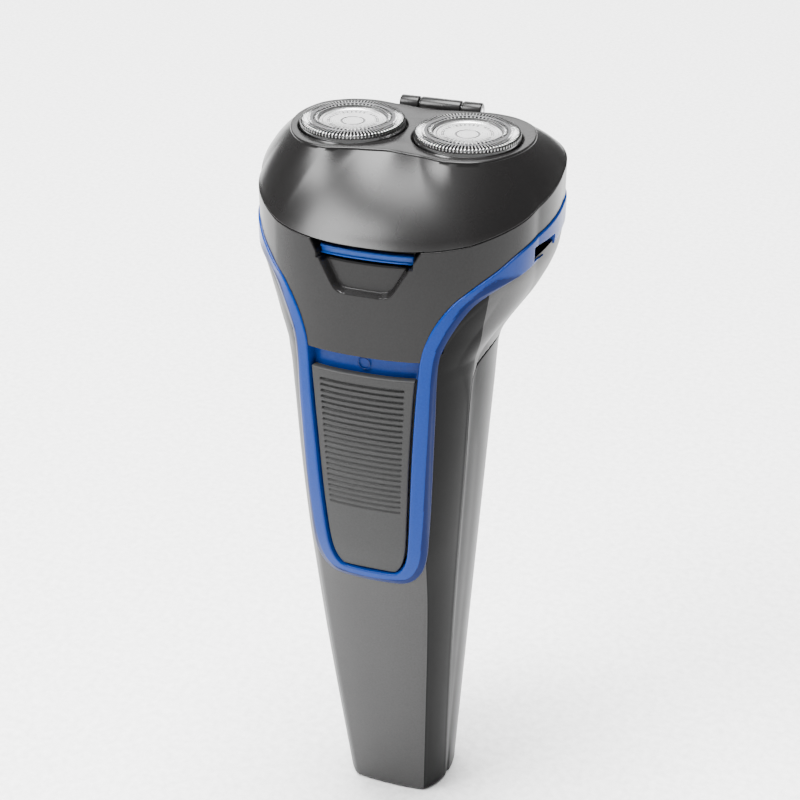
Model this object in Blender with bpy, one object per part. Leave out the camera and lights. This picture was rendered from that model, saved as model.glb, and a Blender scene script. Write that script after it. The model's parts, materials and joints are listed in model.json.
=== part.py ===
"""Two-head rotary shaver with a hinged shaving unit, a sliding power switch and a geared drive.

Sizes are in millimetres and become metres when a mesh is made (MM).  The drive axis stands on
the origin, +Z is up the handle, -Y is the front face and +X the user's left hand side.
"""
from math import acos, atan2, cos, degrees, pi, radians, sin

import bmesh
import bpy
import numpy as np
from mathutils import Matrix, Vector

for old in list(bpy.data.objects):
    bpy.data.objects.remove(old, do_unlink=True)

MM = 0.001
TAU = 2.0 * pi

# ------------------------------------------------------------------ driving sizes
NECK_HEIGHT = 118.0          # base to the neck, where the handle meets the head
HEAD_RISE = 44.3             # neck to the top plate
GUARD_RADIUS = 10.75         # widest ring of a shaving guard
GUARD_SPACING = 2.76         # clear width between the two guards
RIM_WIDTH = 2.5              # top plate left beside a guard
CONE_FLARE = 5.4             # how far the seam stands out past the top plate, at each side
WALL = 1.8                   # moulded walls of the body
GAP = 0.3                    # between pieces that touch or sit in one another
SEAM_SLOPE = 0.23            # the head seam climbs this much per mm towards the back

# ------------------------------------------------------------------ guards and cutters
GUARD_HOLE_CLEARANCE = 0.4   # round each guard, in the top plate
GUARD_PROUD = 1.5            # top of a guard above the top plate
GUARD_WALL = 0.5
GUARD_FLANGE = 1.15          # how far the flange stands out past the guard
GUARD_FLANGE_HEIGHT = 0.8
GUARD_FLOAT = 1.5            # travel of a guard into the head
COVER_WALL = 1.6
DISC_RADIUS = 6.9            # cap in the middle of a guard
DISC_THICKNESS = 0.6
DISC_RECESS = 0.5            # cap face below the guard's top ring
BLADE_COUNT = 12
BLADE_INNER = 7.9
BLADE_HEIGHT = 1.6
BLADE_SHARE = 0.28           # part of each pitch that a blade fills
CARRIER_THICKNESS = 0.8
HUB_RADIUS = 3.6
HUB_LENGTH = 3.2
DOG_LENGTH = 4.4             # flat drive tongue on top of a spindle
DOG_WIDTH = 1.6
SPINDLE_RADIUS = 2.0
SPRING_RADIUS = 2.95         # float spring, middle of the wire
SPRING_WIRE = 0.35
SPRING_TURNS = 5
FRAME_THICKNESS = 1.2        # retaining frame that keeps the cutters in the head
FRAME_BELOW_FLANGE = 1.8     # frame top under the guard flange
KNOB_RADIUS = 2.6

# ------------------------------------------------------------------ drive
PINION_TEETH = 12
GEAR_TEETH = 36
GEAR_THICKNESS = 3.0
GEAR_BELOW_PLATE = 0.6
GEAR_PLATE_BELOW = 16.1      # top of the gear plate under the top plate
GEAR_PLATE_THICKNESS = 1.4
CHASSIS_THICKNESS = 1.4
MOTOR_WIDTH = 20.2
MOTOR_DEPTH = 15.2
MOTOR_LENGTH = 25.0
SHAFT_RADIUS = 1.0
END_CAP_THICKNESS = 1.5
TERMINAL_X = 5.0             # motor terminals, to each side of the shaft
TERMINAL_HALF_WIDTH = 0.9
TERMINAL_LENGTH = 3.0        # below the motor's end cap
ARMATURE_RADIUS = 6.4
ARMATURE_MARGIN = 4.0        # core from each end of the can
CAN_WALL = 0.8
FOOT_RADIUS = 1.2            # thin lower end of a spindle, and the knob's stem
SCREW_Y = (-15.0, 12.5)
SCREW_RADIUS = 1.1
COLUMN_RADIUS = 2.4          # chassis columns that the screws go into

# ------------------------------------------------------------------ power
BATTERY_RADIUS = 7.1
BATTERY_LENGTH = 49.0
BATTERY_BASE = 17.4
BATTERY_NIB_RADIUS = 2.6
BATTERY_NIB = 1.1
CONTACT_THICKNESS = 0.4
SPINE_THICKNESS = 1.3        # backbone of the inner frame
SPINE_HALF_WIDTH = 7.0
SHELF_THICKNESS = 1.4
BOARD_THICKNESS = 1.2
BOARD_HALF_WIDTH = 7.5
BOARD_BASE = 76.0
BOARD_TOP = 108.0
SWITCH_LENGTH = 12.0
SWITCH_HALF_WIDTH = 3.4
SWITCH_DEPTH = 5.0
SWITCH_HEIGHT = 100.0        # middle of the slide switch
SLIDER_TRAVEL = 3.0
SOCKET_HALF_WIDTH = 5.2
SOCKET_DEPTH = 6.8
SOCKET_HEIGHT = 12.0
SOCKET_FRONT = -10.6
SOCKET_WALL = 1.1
SOCKET_PIN_RADIUS = 0.7
SOCKET_PIN_SPACING = 3.8
SOCKET_PIN_TIP = 5.0

# ------------------------------------------------------------------ front face
TRIM_PROUD = 0.4             # trim above the body, at the handle
TRIM_DEPTH = 3.4             # trim frame into the body
SLIDER_TOP = 121.6
SLIDER_THICKNESS = 1.4
SLIDER_FLOOR = 2.2           # floor of the slider's recess below the body face
STRIP_FLOOR = 2.1            # floor of the indicator strip below the body face
PANEL_BASE = 125.3           # lower edge of the front panel
PANEL_WALL = 2.6
GROOVE_COUNT = 23
GROOVE_PITCH = 1.335
GROOVE_TOP = 119.3
GROOVE_WIDTH = 0.55
GROOVE_DEPTH = 0.45
GROOVE_HALF_LENGTH = 8.9
GROOVE_TAPER = 0.05          # the grooves shorten by this much each
RING_HEIGHT = 123.5          # indicator ring above the slider
RING_RADIUS = 1.35
RING_WIRE = 0.2
RECESS_BASE = 138.5          # finger recess round the release button
RECESS_BASE_HALF = 5.6
RECESS_TOP_HALF = 11.3
RECESS_DEPTH = 1.8
BUTTON_HALF_WIDTH = 9.6
BUTTON_HEIGHT = 1.9
BUTTON_BELOW_SEAM = 1.1
BUTTON_TRAVEL = 1.5
BUTTON_STATION = 147.3       # nominal height whose front face the button follows
BUTTON_SUNK = 1.5            # button face behind that front face
BUTTON_DEPTH = 4.2
NOTCH_FRONT = -4.0           # cap notch in the trim, at each side
NOTCH_BACK = 5.5
NOTCH_BASE = 141.0
NOTCH_TOP = 144.4
NOTCH_DEPTH = 2.2

# ------------------------------------------------------------------ hinge of the shaving unit
HINGE_PIN_RADIUS = 0.8
HINGE_BARREL_RADIUS = 1.9
HINGE_INNER_HALF = 4.5       # cover's knuckle
HINGE_OUTER_HALF = 9.0       # ends of the body's knuckles

# ------------------------------------------------------------------ sizes that follow
NOMINAL_NECK = 118.0         # the stations below are heights on a body with this neck
NOMINAL_PLATE = 162.3
NOMINAL_HALF_WIDTH = 30.8
NOMINAL_PLATE_HALF = 25.4
SPINDLE_X = GUARD_RADIUS + GUARD_SPACING / 2.0
GUARD_HOLE = GUARD_RADIUS + GUARD_HOLE_CLEARANCE
PLATE_HALF_WIDTH = SPINDLE_X + GUARD_RADIUS + RIM_WIDTH
HEAD_HALF_WIDTH = PLATE_HALF_WIDTH + CONE_FLARE
HEAD_SCALE = HEAD_HALF_WIDTH / NOMINAL_HALF_WIDTH
PLATE_SCALE = PLATE_HALF_WIDTH / NOMINAL_PLATE_HALF
PLATE_Z = NECK_HEIGHT + HEAD_RISE

# ------------------------------------------------------------------ outline of the body, by height
# Half outline of the front body, from the front centre round to the back centre: a curved front to
# the crease under the trim, a flat flank to the side corner, a side, and a round back.
FRONT_Y = [(0, -14.1), (26, -18.5), (52, -22.7), (66, -25.0), (80, -27.6), (100, -29.4),
           (118, -29.9), (129, -29.4), (140, -28.8), (150, -28.0)]
CREASE_X = [(0, 8.7), (26, 10.25), (52, 11.7), (66, 12.3), (80, 12.6), (100, 13.0), (118, 13.7),
            (125, 14.6), (129, 15.8), (133, 17.9), (136.3, 20.3), (141, 24.0), (150, 24.0)]
CORNER_X = [(0, 12.2), (25, 13.9), (51, 15.6), (74, 17.1), (100, 18.7), (112, 19.3), (118, 19.7),
            (122.7, 20.4), (127, 22.8), (131.7, 26.2), (136, 27.9), (141, 28.6), (150, 28.7)]
CORNER_Y = [(0, -7.0), (25, -11.1), (51, -14.8), (74, -16.8), (100, -18.0), (112, -18.4),
            (118, -18.9), (122.7, -19.4), (127, -17.5), (131.7, -13.5), (136, -12.0), (150, -12.0)]
SIDE_X = [(0, 9.3), (100, 15.9), (112, 16.9), (118, 18.2), (122, 19.7), (125, 20.9), (127, 22.4),
          (130, 25.2), (132.2, 27.1), (134.7, 28.6), (137, 29.7), (140, 30.5), (145, 31.0),
          (150, 31.0)]
SIDE_Y = [(0, 1.0), (120, 1.0), (136, 4.0), (150, 5.0)]
BACK_Y = [(0, 3.0), (100, 6.0), (112, 8.0), (120, 11.0), (125, 14.0), (130, 17.0), (136, 19.5),
          (142, 20.5), (150, 21.0)]
CREASE_ROUND = [(0, 0.8), (125, 0.8), (133, 2.0), (138, 5.0), (141, 6.0)]
CORNER_ROUND = [(0, 0.8), (112, 0.8), (120, 2.5), (125, 6.0), (131, 7.0)]
BODY_HEIGHTS = [0, 1.0, 26, 52, 73, 90, 104, 113, 118, 121.5, 124.5, 127.5, 130.5, 133.5, 136.5,
                140, 146, 154, 166]
# Handle behind the crease line: flat sides and a half-round back.
REAR_HALF_WIDTH = (12.2, 0.0655)     # at the base, and growth per mm of height
REAR_DEPTH = (9.3, 0.030)
REAR_START_Y = -1.0
REAR_HEIGHTS = [0, 1.0, 20, 45, 70, 95, 118, 132]
# The crease line between flank and rear, as (y, height): the rear cover's parting line.
CREASE_LINE = [(-7.0, 0), (-11.1, 25), (-14.8, 51), (-16.8, 74), (-18.0, 100), (-18.6, 112),
               (-18.2, 118), (-16.0, 121.3), (-12.0, 122.8), (-6.0, 123.4), (0.0, 123.0), (14.0, 121.0),
               (30.0, 119.0)]
FRONT_FORM = (30.8, 31.0, 2.4)       # half width, depth and power of the curve across the front
BACK_POWER = 2.4
REAR_POWER = 2.0
AXIS_Y = -5.0                        # angles of the trim are measured round this axis
# Edges of the trim as (degrees from the front, height): its inner edge and its outer edge.
TRIM_INNER = [(0, 72.3), (14, 72.5), (18.5, 73.6), (21.3, 76.4), (22.3, 80), (22.9, 90), (23.4, 100),
              (24.5, 112), (25.6, 120), (27.2, 126.5), (30.3, 131), (36, 135.5), (43, 138.8),
              (50.6, 141), (59.2, 142.9), (72.1, 145.6), (87.5, 147.2), (100, 148.2), (115, 149.6),
              (140, 151.6), (180, 153.4)]
TRIM_OUTER = [(0, 69.3), (19, 69.6), (26.5, 71.2), (31.0, 75.2), (32.3, 80), (33.0, 90), (33.4, 100),
              (33.9, 112), (34.4, 120), (36.0, 126.5), (40, 130.5), (46.9, 135), (53.5, 137.5),
              (62.8, 139.5), (71.3, 140.5), (82.1, 141.3), (99.4, 142.9), (115, 144.4),
              (140, 146.4), (180, 148.2)]


def steady_slopes(stations):
    """Slopes of a smooth curve through the stations that never overshoots them."""
    steps = [(b[0] - a[0], (b[1] - a[1]) / (b[0] - a[0])) for a, b in zip(stations, stations[1:])]
    slopes = [steps[0][1]]
    for (h0, d0), (h1, d1) in zip(steps, steps[1:]):
        if d0 * d1 <= 0.0:
            slopes.append(0.0)
        else:
            w0, w1 = 2.0 * h1 + h0, h1 + 2.0 * h0
            slopes.append((w0 + w1) / (w0 / d0 + w1 / d1))
    slopes.append(steps[-1][1])
    return slopes


def value_at(stations, position):
    """Read a station table at a position, with a smooth curve between the stations."""
    position = min(max(position, stations[0][0]), stations[-1][0])
    slopes = steady_slopes(stations)
    for index in range(len(stations) - 1):
        (x0, y0), (x1, y1) = stations[index], stations[index + 1]
        if position <= x1:
            break
    span = x1 - x0
    t = (position - x0) / span
    low, high = slopes[index] * span, slopes[index + 1] * span
    return (y0 * (1 + 2 * t) * (1 - t) ** 2 + low * t * (1 - t) ** 2
            + y1 * t * t * (3 - 2 * t) + high * t * t * (t - 1))


def rise(nominal):
    """Height on this body of a height on the nominal one: handle and head stretch each by its size."""
    if nominal <= NOMINAL_NECK:
        return nominal * NECK_HEIGHT / NOMINAL_NECK
    return NECK_HEIGHT + (nominal - NOMINAL_NECK) * HEAD_RISE / (NOMINAL_PLATE - NOMINAL_NECK)


def head_share(nominal):
    """0 on the handle and 1 on the head: how far the head's own scale applies."""
    return min(max((nominal - NOMINAL_NECK) / 22.0, 0.0), 1.0)


def spread(nominal):
    return 1.0 + (HEAD_SCALE - 1.0) * head_share(nominal)


def front_face(nominal):
    """Front centre of the body at a nominal height, as a y."""
    return value_at(FRONT_Y, nominal) * spread(nominal)


def front_curve(x):
    """How far the front surface falls back at a distance x from the middle."""
    half, depth, power = FRONT_FORM
    return depth * (1.0 - (1.0 - min(abs(x) / half, 0.999) ** power) ** (1.0 / power))


def round_corner(start, corner, end, steps):
    """Points of a curve from start to end that turns at the corner."""
    points = []
    for step in range(1, steps + 1):
        t = step / steps
        points.append(start * (1 - t) ** 2 + corner * 2 * t * (1 - t) + end * t * t)
    return points


def front_outline(nominal):
    """Half outline of the front body at a nominal height, front centre to back centre."""
    front_y = value_at(FRONT_Y, nominal)
    crease_x = value_at(CREASE_X, nominal)
    crease = Vector((crease_x, front_y + front_curve(crease_x)))
    corner = Vector((value_at(CORNER_X, nominal), value_at(CORNER_Y, nominal)))
    side = Vector((value_at(SIDE_X, nominal), value_at(SIDE_Y, nominal)))
    back_y = value_at(BACK_Y, nominal)
    flank = (corner - crease).normalized()
    flank_length = (corner - crease).length
    along_side = (side - corner).normalized()
    crease_round = min(value_at(CREASE_ROUND, nominal), 0.45 * flank_length)
    corner_round = min(value_at(CORNER_ROUND, nominal), 0.45 * flank_length,
                       0.45 * (side - corner).length)
    straight = crease_x - crease_round
    points = [Vector((straight * share, front_y + front_curve(straight * share)))
              for share in (0.0, 0.22, 0.58, 1.0)]
    points += round_corner(points[-1], crease, crease + flank * crease_round, 2)
    bend = corner - flank * corner_round
    points.append((points[-1] + bend) / 2.0)
    points.append(bend)
    points += round_corner(bend, corner, corner + along_side * corner_round, 3)
    points.append((points[-1] + side) / 2.0)
    for step in range(7):
        turn = step / 6.0 * pi / 2.0
        points.append(Vector((side.x * cos(turn) ** (2.0 / BACK_POWER),
                              side.y + (back_y - side.y) * sin(turn) ** (2.0 / BACK_POWER))))
    scale = spread(nominal)
    return [p * scale for p in points]


def rear_outline(nominal):
    """Half outline of the handle's rear, from inside the front body round to the back centre."""
    half = REAR_HALF_WIDTH[0] + REAR_HALF_WIDTH[1] * nominal
    depth = REAR_DEPTH[0] + REAR_DEPTH[1] * nominal
    corner_y = value_at([(y_z[1], y_z[0]) for y_z in CREASE_LINE[:7]], nominal)
    points = [Vector((0.0, corner_y - 1.0)), Vector((half - 4.0, corner_y)),
              Vector((half, corner_y + 2.2)), Vector((half, (corner_y + REAR_START_Y) / 2.0))]
    for step in range(8):
        turn = step / 7.0 * pi / 2.0
        points.append(Vector((half * cos(turn) ** (2.0 / REAR_POWER),
                              REAR_START_Y + depth * sin(turn) ** (2.0 / REAR_POWER))))
    return points


def whole_outline(half):
    """Close a half outline with its mirror image."""
    left = [Vector((-p.x, p.y)) for p in reversed(half[1:-1])]
    right = [Vector((0.0, half[0].y))] + [p.copy() for p in half[1:-1]] + [Vector((0.0, half[-1].y))]
    return right + left


def outset(outline, distance):
    """Move a closed outline outwards by a distance."""
    moved = []
    count = len(outline)
    for index in range(count):
        before, here, after = outline[index - 1], outline[index], outline[(index + 1) % count]
        first = (here - before).normalized()
        second = (after - here).normalized()
        normal = Vector((first.y + second.y, -first.x - second.x)).normalized()
        moved.append(here + normal * (distance / max(normal.dot(Vector((first.y, -first.x))), 0.6)))
    return moved


def inset(outline, distance):
    """Draw a closed outline in towards its middle until it clears the old one by a distance."""
    if distance <= 0.0:
        return outset(outline, -distance)
    rim = np.array([(p.x, p.y) for p in outline])
    middle = np.array([0.0, (rim[:, 1].min() + rim[:, 1].max()) / 2.0])
    along = np.roll(rim, -1, axis=0) - rim
    square = (along ** 2).sum(axis=1)
    low, high = np.zeros(len(rim)), np.ones(len(rim))
    for _ in range(26):
        share = (low + high) / 2.0
        points = middle + (rim - middle) * share[:, None]
        offset = points[:, None, :] - rim[None, :, :]
        foot = np.clip((offset * along).sum(axis=2) / square, 0.0, 1.0)
        gap = np.hypot(*np.moveaxis(offset - foot[:, :, None] * along, 2, 0)).min(axis=1)
        low, high = np.where(gap >= distance, share, low), np.where(gap >= distance, high, share)
    return [Vector(middle + (point - middle) * t) for point, t in zip(rim, low)]


# ------------------------------------------------------------------ meshes and solids
def new_solid(name, bm):
    """Close off a bmesh in millimetres as an object in metres, with its faces pointing out."""
    bmesh.ops.remove_doubles(bm, verts=bm.verts, dist=1e-4)
    bmesh.ops.recalc_face_normals(bm, faces=bm.faces)
    bmesh.ops.scale(bm, vec=(MM, MM, MM), verts=bm.verts)
    mesh = bpy.data.meshes.new(name)
    bm.to_mesh(mesh)
    bm.free()
    solid = bpy.data.objects.new(name, mesh)
    bpy.context.collection.objects.link(solid)
    return solid


def loft(name, rings):
    """Skin over rings of equal point counts, with flat ends."""
    bm = bmesh.new()
    levels = [[bm.verts.new(p) for p in ring] for ring in rings]
    count = len(rings[0])
    for lower, upper in zip(levels, levels[1:]):
        for index in range(count):
            after = (index + 1) % count
            bm.faces.new((lower[index], lower[after], upper[after], upper[index]))
    if len(rings) > 2:
        bmesh.ops.triangulate(bm, faces=bm.faces)
    bm.faces.new(list(reversed(levels[0])))
    bm.faces.new(levels[-1])
    return new_solid(name, bm)


def turned(name, profile, centre=(0.0, 0.0), steps=32):
    """Spin a closed profile of (radius, height) points round a vertical axis."""
    bm = bmesh.new()
    rings = []
    for radius, height in profile:
        if radius < 1e-6:
            rings.append([bm.verts.new((centre[0], centre[1], height))] * steps)
        else:
            rings.append([bm.verts.new((centre[0] + radius * cos(TAU * k / steps),
                                        centre[1] + radius * sin(TAU * k / steps), height))
                          for k in range(steps)])
    for lower, upper in zip(rings, rings[1:] + rings[:1]):
        for k in range(steps):
            corners = []
            for vert in (lower[k], lower[(k + 1) % steps], upper[(k + 1) % steps], upper[k]):
                if vert not in corners:
                    corners.append(vert)
            if len(corners) > 2:
                bm.faces.new(corners)
    return new_solid(name, bm)


def prism(name, outline, low, high, axis="Z"):
    """Straight extrusion of an outline between two levels along an axis."""
    order = {"Z": lambda u, v, w: (u, v, w), "Y": lambda u, v, w: (u, w, v),
             "X": lambda u, v, w: (w, u, v)}[axis]
    return loft(name, [[order(p[0], p[1], level) for p in outline] for level in (low, high)])


def block(name, low, high):
    outline = [(low[0], low[1]), (high[0], low[1]), (high[0], high[1]), (low[0], high[1])]
    return prism(name, outline, low[2], high[2])


def rod(name, centre, radius, low, high, axis="Z", steps=24):
    """Round bar along an axis; centre is given in the two other directions, in X, Y, Z order."""
    outline = [(centre[0] + radius * cos(TAU * k / steps), centre[1] + radius * sin(TAU * k / steps))
               for k in range(steps)]
    return prism(name, outline, low, high, axis)


def evaluated(solid):
    graph = bpy.context.evaluated_depsgraph_get()
    return bpy.data.meshes.new_from_object(solid.evaluated_get(graph))


def is_closed(mesh):
    """True when every edge of a mesh joins exactly two faces."""
    uses = np.zeros(len(mesh.edges), dtype=int)
    loops = np.empty(len(mesh.loops), dtype=int)
    mesh.loops.foreach_get("edge_index", loops)
    np.add.at(uses, loops, 1)
    return bool((uses == 2).all())


def combine(solid, other, operation, keep):
    """Boolean of two solids; the first one takes the result and the other is used up."""
    step = solid.modifiers.new(operation.title(), "BOOLEAN")
    step.operation = operation
    step.object = other
    bpy.context.view_layer.update()
    mesh = evaluated(solid)
    if not is_closed(mesh):
        step.solver = "MANIFOLD"
        bpy.context.view_layer.update()
        mesh = evaluated(solid)
    solid.modifiers.remove(step)
    solid.data = mesh
    if not keep:
        bpy.data.objects.remove(other, do_unlink=True)
    return solid


def minus(solid, *others, keep=False):
    for other in others:
        combine(solid, other, "DIFFERENCE", keep)
    return solid


def common(solid, *others, keep=False):
    for other in others:
        combine(solid, other, "INTERSECT", keep)
    return solid


def plus(solid, *others, keep=False):
    for other in others:
        combine(solid, other, "UNION", keep)
    return solid


def level_ring(outline, height):
    return [(p.x, p.y, height) for p in outline]


def joined(solids):
    """Several separate solids as one object, to cut with."""
    bm = bmesh.new()
    for solid in solids:
        bm.from_mesh(solid.data)
        bpy.data.objects.remove(solid, do_unlink=True)
    mesh = bpy.data.meshes.new("joined")
    bm.to_mesh(mesh)
    bm.free()
    whole = bpy.data.objects.new("joined", mesh)
    bpy.context.collection.objects.link(whole)
    return whole


# ------------------------------------------------------------------ forms of the body
SEAM_Z = PLATE_Z - 7.7               # seam height over the drive axis
FRONT_AT_SEAM = -28.0                # y of the front face where the seam crosses it
FAR = 60.0                           # reach of a cutter past the body
REGION_RADII = (1.5, 9.0, 14.0, 19.0, 24.0, 29.0, 34.0, FAR)
BASE_ROUND = 0.8


def seam_height(y):
    return SEAM_Z + SEAM_SLOPE * y


def front_form(name, distance, floor=0.0):
    """Front body and head as one solid, inset by a distance, from a floor up past the seam."""
    rings = []
    for nominal in BODY_HEIGHTS if distance <= 0.0 else BODY_HEIGHTS[::2]:
        height = rise(nominal)
        if height < floor:
            continue
        edge = BASE_ROUND if nominal == 0 and floor == 0.0 else 0.0
        rings.append(level_ring(inset(whole_outline(front_outline(nominal)), distance + edge), height))
    if floor > 0.0:
        nominal = floor * NOMINAL_NECK / NECK_HEIGHT
        rings.insert(0, level_ring(inset(whole_outline(front_outline(nominal)), distance), floor))
    return loft(name, rings)


def front_core(name, distance):
    """The front body inset by a distance and drawn out past both ends, to cut with."""
    rings = [level_ring(inset(whole_outline(front_outline(nominal)), distance), rise(nominal))
             for nominal in BODY_HEIGHTS[::2]]
    rings.insert(0, [(x, y, z - 3.0) for x, y, z in rings[0]])
    rings.append([(x, y, z + 3.0) for x, y, z in rings[-1]])
    return loft(name, rings)


def rear_form(name, distance, floor=0.0):
    """Handle behind the crease line as a solid, inset by a distance."""
    rings = []
    for nominal in REAR_HEIGHTS:
        height = rise(nominal)
        if height < floor:
            continue
        edge = BASE_ROUND if nominal == 0 and floor == 0.0 else 0.0
        rings.append(level_ring(inset(whole_outline(rear_outline(nominal)), distance + edge), height))
    if floor > 0.0:
        rings.insert(0, level_ring(inset(whole_outline(rear_outline(floor)), distance), floor))
    return loft(name, rings)


def body_form(name, distance, floor=0.0):
    return plus(front_form(name, distance, floor), rear_form("rear", distance, floor))


def smooth_edge(edge):
    """Add a point along a smooth curve wherever an edge's point list bends."""
    points = [Vector(p) for p in edge]
    fine = [points[0]]
    for index in range(len(points) - 1):
        p1, p2 = points[index], points[index + 1]
        p0 = points[max(index - 1, 0)]
        p3 = points[min(index + 2, len(points) - 1)]
        middle = (p1 + p2) * 0.5625 - (p0 + p3) * 0.0625
        if (middle - (p1 + p2) / 2.0).length > 0.12:
            fine.append(middle)
        fine.append(p2)
    return fine


def edge_points(edge, distance):
    """An edge of the trim moved by a distance into the head, as (angle, height) pairs."""
    reach = 25.0 * HEAD_SCALE
    flat = [Vector((radians(p.x) * reach, rise(p.y))) for p in smooth_edge(edge)]
    moved = []
    for index, here in enumerate(flat):
        along = flat[min(index + 1, len(flat) - 1)] - flat[max(index - 1, 0)]
        if index in (0, len(flat) - 1):
            along = Vector((1.0, 0.0))
        along.normalize()
        moved.append(here + Vector((-along.y, along.x)) * distance)
    return [(p.x / reach, p.y) for p in moved]


def head_region(name, edge, distance):
    """Everything above an edge of the trim: a block whose underside follows that edge."""
    right = edge_points(edge, distance)
    loop = right + [(-angle, height) for angle, height in reversed(right[1:-1])]
    top = PLATE_Z + FAR
    bm = bmesh.new()
    columns = []
    for angle, height in loop:
        column = [(radius, height) for radius in REGION_RADII]
        column += [(radius, top) for radius in (REGION_RADII[-1], REGION_RADII[0])]
        columns.append([bm.verts.new((radius * sin(angle), AXIS_Y - radius * cos(angle), level))
                        for radius, level in column])
    for here, after in zip(columns, columns[1:] + columns[:1]):
        for k in range(len(here)):
            nearer = (k + 1) % len(here)
            bm.faces.new((here[k], here[nearer], after[nearer], after[k]))
    bmesh.ops.triangulate(bm, faces=bm.faces)
    return new_solid(name, bm)


def above_seam(name, distance):
    outline = [(-FAR, seam_height(-FAR) + distance), (FAR, seam_height(FAR) + distance),
               (FAR, PLATE_Z + FAR), (-FAR, PLATE_Z + FAR)]
    return prism(name, outline, -FAR, FAR, "X")


def behind_crease(name, distance):
    """Everything behind the crease line, moved back and down by a distance."""
    line = [(y + distance, rise(z) - (distance if z > NOMINAL_NECK else 0.0)) for y, z in CREASE_LINE]
    line[0] = (line[0][0], -FAR)
    return prism(name, line + [(FAR, line[-1][1]), (FAR, -FAR)], -FAR, FAR, "X")


def base_plug(name, distance):
    """The inside of the base, which stays with the main housing behind the crease line too."""
    half = REAR_HALF_WIDTH[0] - distance
    right = [Vector((0.0, -12.0)), Vector((half, -12.0))]
    for step in range(9):
        turn = step / 8.0 * pi / 2.0
        right.append(Vector((half * cos(turn), REAR_START_Y + (REAR_DEPTH[0] - distance) * sin(turn))))
    return prism(name, whole_outline(right), -WALL, WALL + GAP)


# ------------------------------------------------------------------ shells of the body
def body_shell(name):
    return minus(body_form(name, 0.0), body_form("hollow", WALL, floor=WALL))


def side_notch(name, side):
    low, high = rise(NOTCH_BASE), rise(NOTCH_TOP)
    inner = HEAD_HALF_WIDTH + TRIM_PROUD - NOTCH_DEPTH
    outline = [(NOTCH_FRONT, low), (NOTCH_BACK, low), (NOTCH_BACK - 0.6, high),
               (NOTCH_FRONT + 2.2, high)]
    ends = (inner, FAR) if side > 0 else (-FAR, -inner)
    return prism(name, outline, ends[0], ends[1], "X")


def make_main_housing():
    housing = body_shell("main_housing")
    rear = minus(behind_crease("rear_cut", 0.0), base_plug("plug", WALL + GAP))
    minus(housing, rear, head_region("above_trim", TRIM_OUTER, 0.0))
    low = (-SOCKET_HALF_WIDTH + SOCKET_WALL, SOCKET_FRONT + SOCKET_WALL, -WALL)
    high = (SOCKET_HALF_WIDTH - SOCKET_WALL, SOCKET_FRONT + SOCKET_DEPTH - SOCKET_WALL, 2 * WALL)
    return minus(housing, block("inlet", low, high))


def make_rear_cover():
    cover = body_shell("rear_cover")
    region = minus(behind_crease("rear_part", GAP), base_plug("plug", WALL))
    return common(cover, region)


def slider_window(name, distance, top):
    """The front region inside the trim, below a height."""
    region = head_region(name, TRIM_INNER, distance)
    return common(region, block("below", (-FAR, -FAR, -FAR), (FAR, 0.0, top)))


def make_trim_frame():
    frame = common(front_form("trim_frame", -TRIM_PROUD), head_region("inside", TRIM_OUTER, GAP))
    minus(frame, front_core("behind", TRIM_DEPTH))
    floor = rise(SLIDER_TOP) + GAP
    minus(frame, minus(slider_window("pocket", 0.0, floor), front_core("floor", SLIDER_FLOOR)))
    strip = common(slider_window("strip", 0.0, rise(PANEL_BASE) + 1.0),
                   block("upper", (-FAR, -FAR, floor - 1.0), (FAR, FAR, FAR * 4)))
    minus(frame, minus(strip, front_core("ledge", STRIP_FLOOR)))
    upper = common(head_region("panel_hole", TRIM_INNER, 0.0),
                   block("upper", (-FAR, -FAR, rise(PANEL_BASE)), (FAR, FAR, FAR * 4)))
    minus(frame, upper)
    for side in (1, -1):
        minus(frame, side_notch("notch", side))
    slot_low = (-2.4, -FAR, SWITCH_Z - 3.1)
    slot_high = (2.4, AXIS_Y, SWITCH_Z + 3.1 + SLIDER_TRAVEL)
    return minus(frame, block("slot", slot_low, slot_high))


def finger_recess(name):
    """Trapezoid round the release button, sunk evenly into the front under the seam."""
    low, high = rise(RECESS_BASE), seam_height(FRONT_AT_SEAM) + 3.0
    half = RECESS_TOP_HALF + 1.7
    right = [(RECESS_BASE_HALF - 1.0, low), (RECESS_BASE_HALF, low + 0.5), (half, high)]
    outline = right + [(-x, z) for x, z in reversed(right)]
    return minus(prism(name, outline, -FAR, AXIS_Y, "Y"), front_core("floor", RECESS_DEPTH))


def make_front_panel():
    panel = common(front_form("front_panel", 0.0), head_region("inside", TRIM_INNER, GAP))
    minus(panel, front_core("hollow", PANEL_WALL), above_seam("seam", 0.0))
    minus(panel, block("below", (-FAR, -FAR, -FAR), (FAR, FAR, rise(PANEL_BASE) + GAP)))
    minus(panel, finger_recess("recess"))
    low = (-BUTTON_HALF_WIDTH - GAP, -FAR, BUTTON_BASE - GAP)
    high = (BUTTON_HALF_WIDTH + GAP, -15.0, PLATE_Z)
    minus(panel, block("window", low, high))
    return hinge_knuckles(panel)


def make_power_slider():
    slider = common(front_form("power_slider", -0.2), slider_window("window", 0.45, rise(SLIDER_TOP)))
    minus(slider, front_core("behind", SLIDER_THICKNESS))
    bars = []
    for index in range(GROOVE_COUNT):
        height = rise(GROOVE_TOP) - index * GROOVE_PITCH
        half = GROOVE_HALF_LENGTH - index * GROOVE_TAPER
        bars.append(block("groove", (-half, -FAR, height - GROOVE_WIDTH / 2),
                          (half, -10.0, height + GROOVE_WIDTH / 2)))
    bars = joined(bars)
    minus(slider, minus(bars, front_core("floor", GROOVE_DEPTH - 0.2)))
    back = front_face(SWITCH_HEIGHT) + SLIDER_THICKNESS
    boss = block("boss", (-2.0, back - 0.5, SWITCH_Z - 2.5), (2.0, SWITCH_FRONT - 2.4, SWITCH_Z + 2.5))
    return plus(slider, boss)


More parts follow.
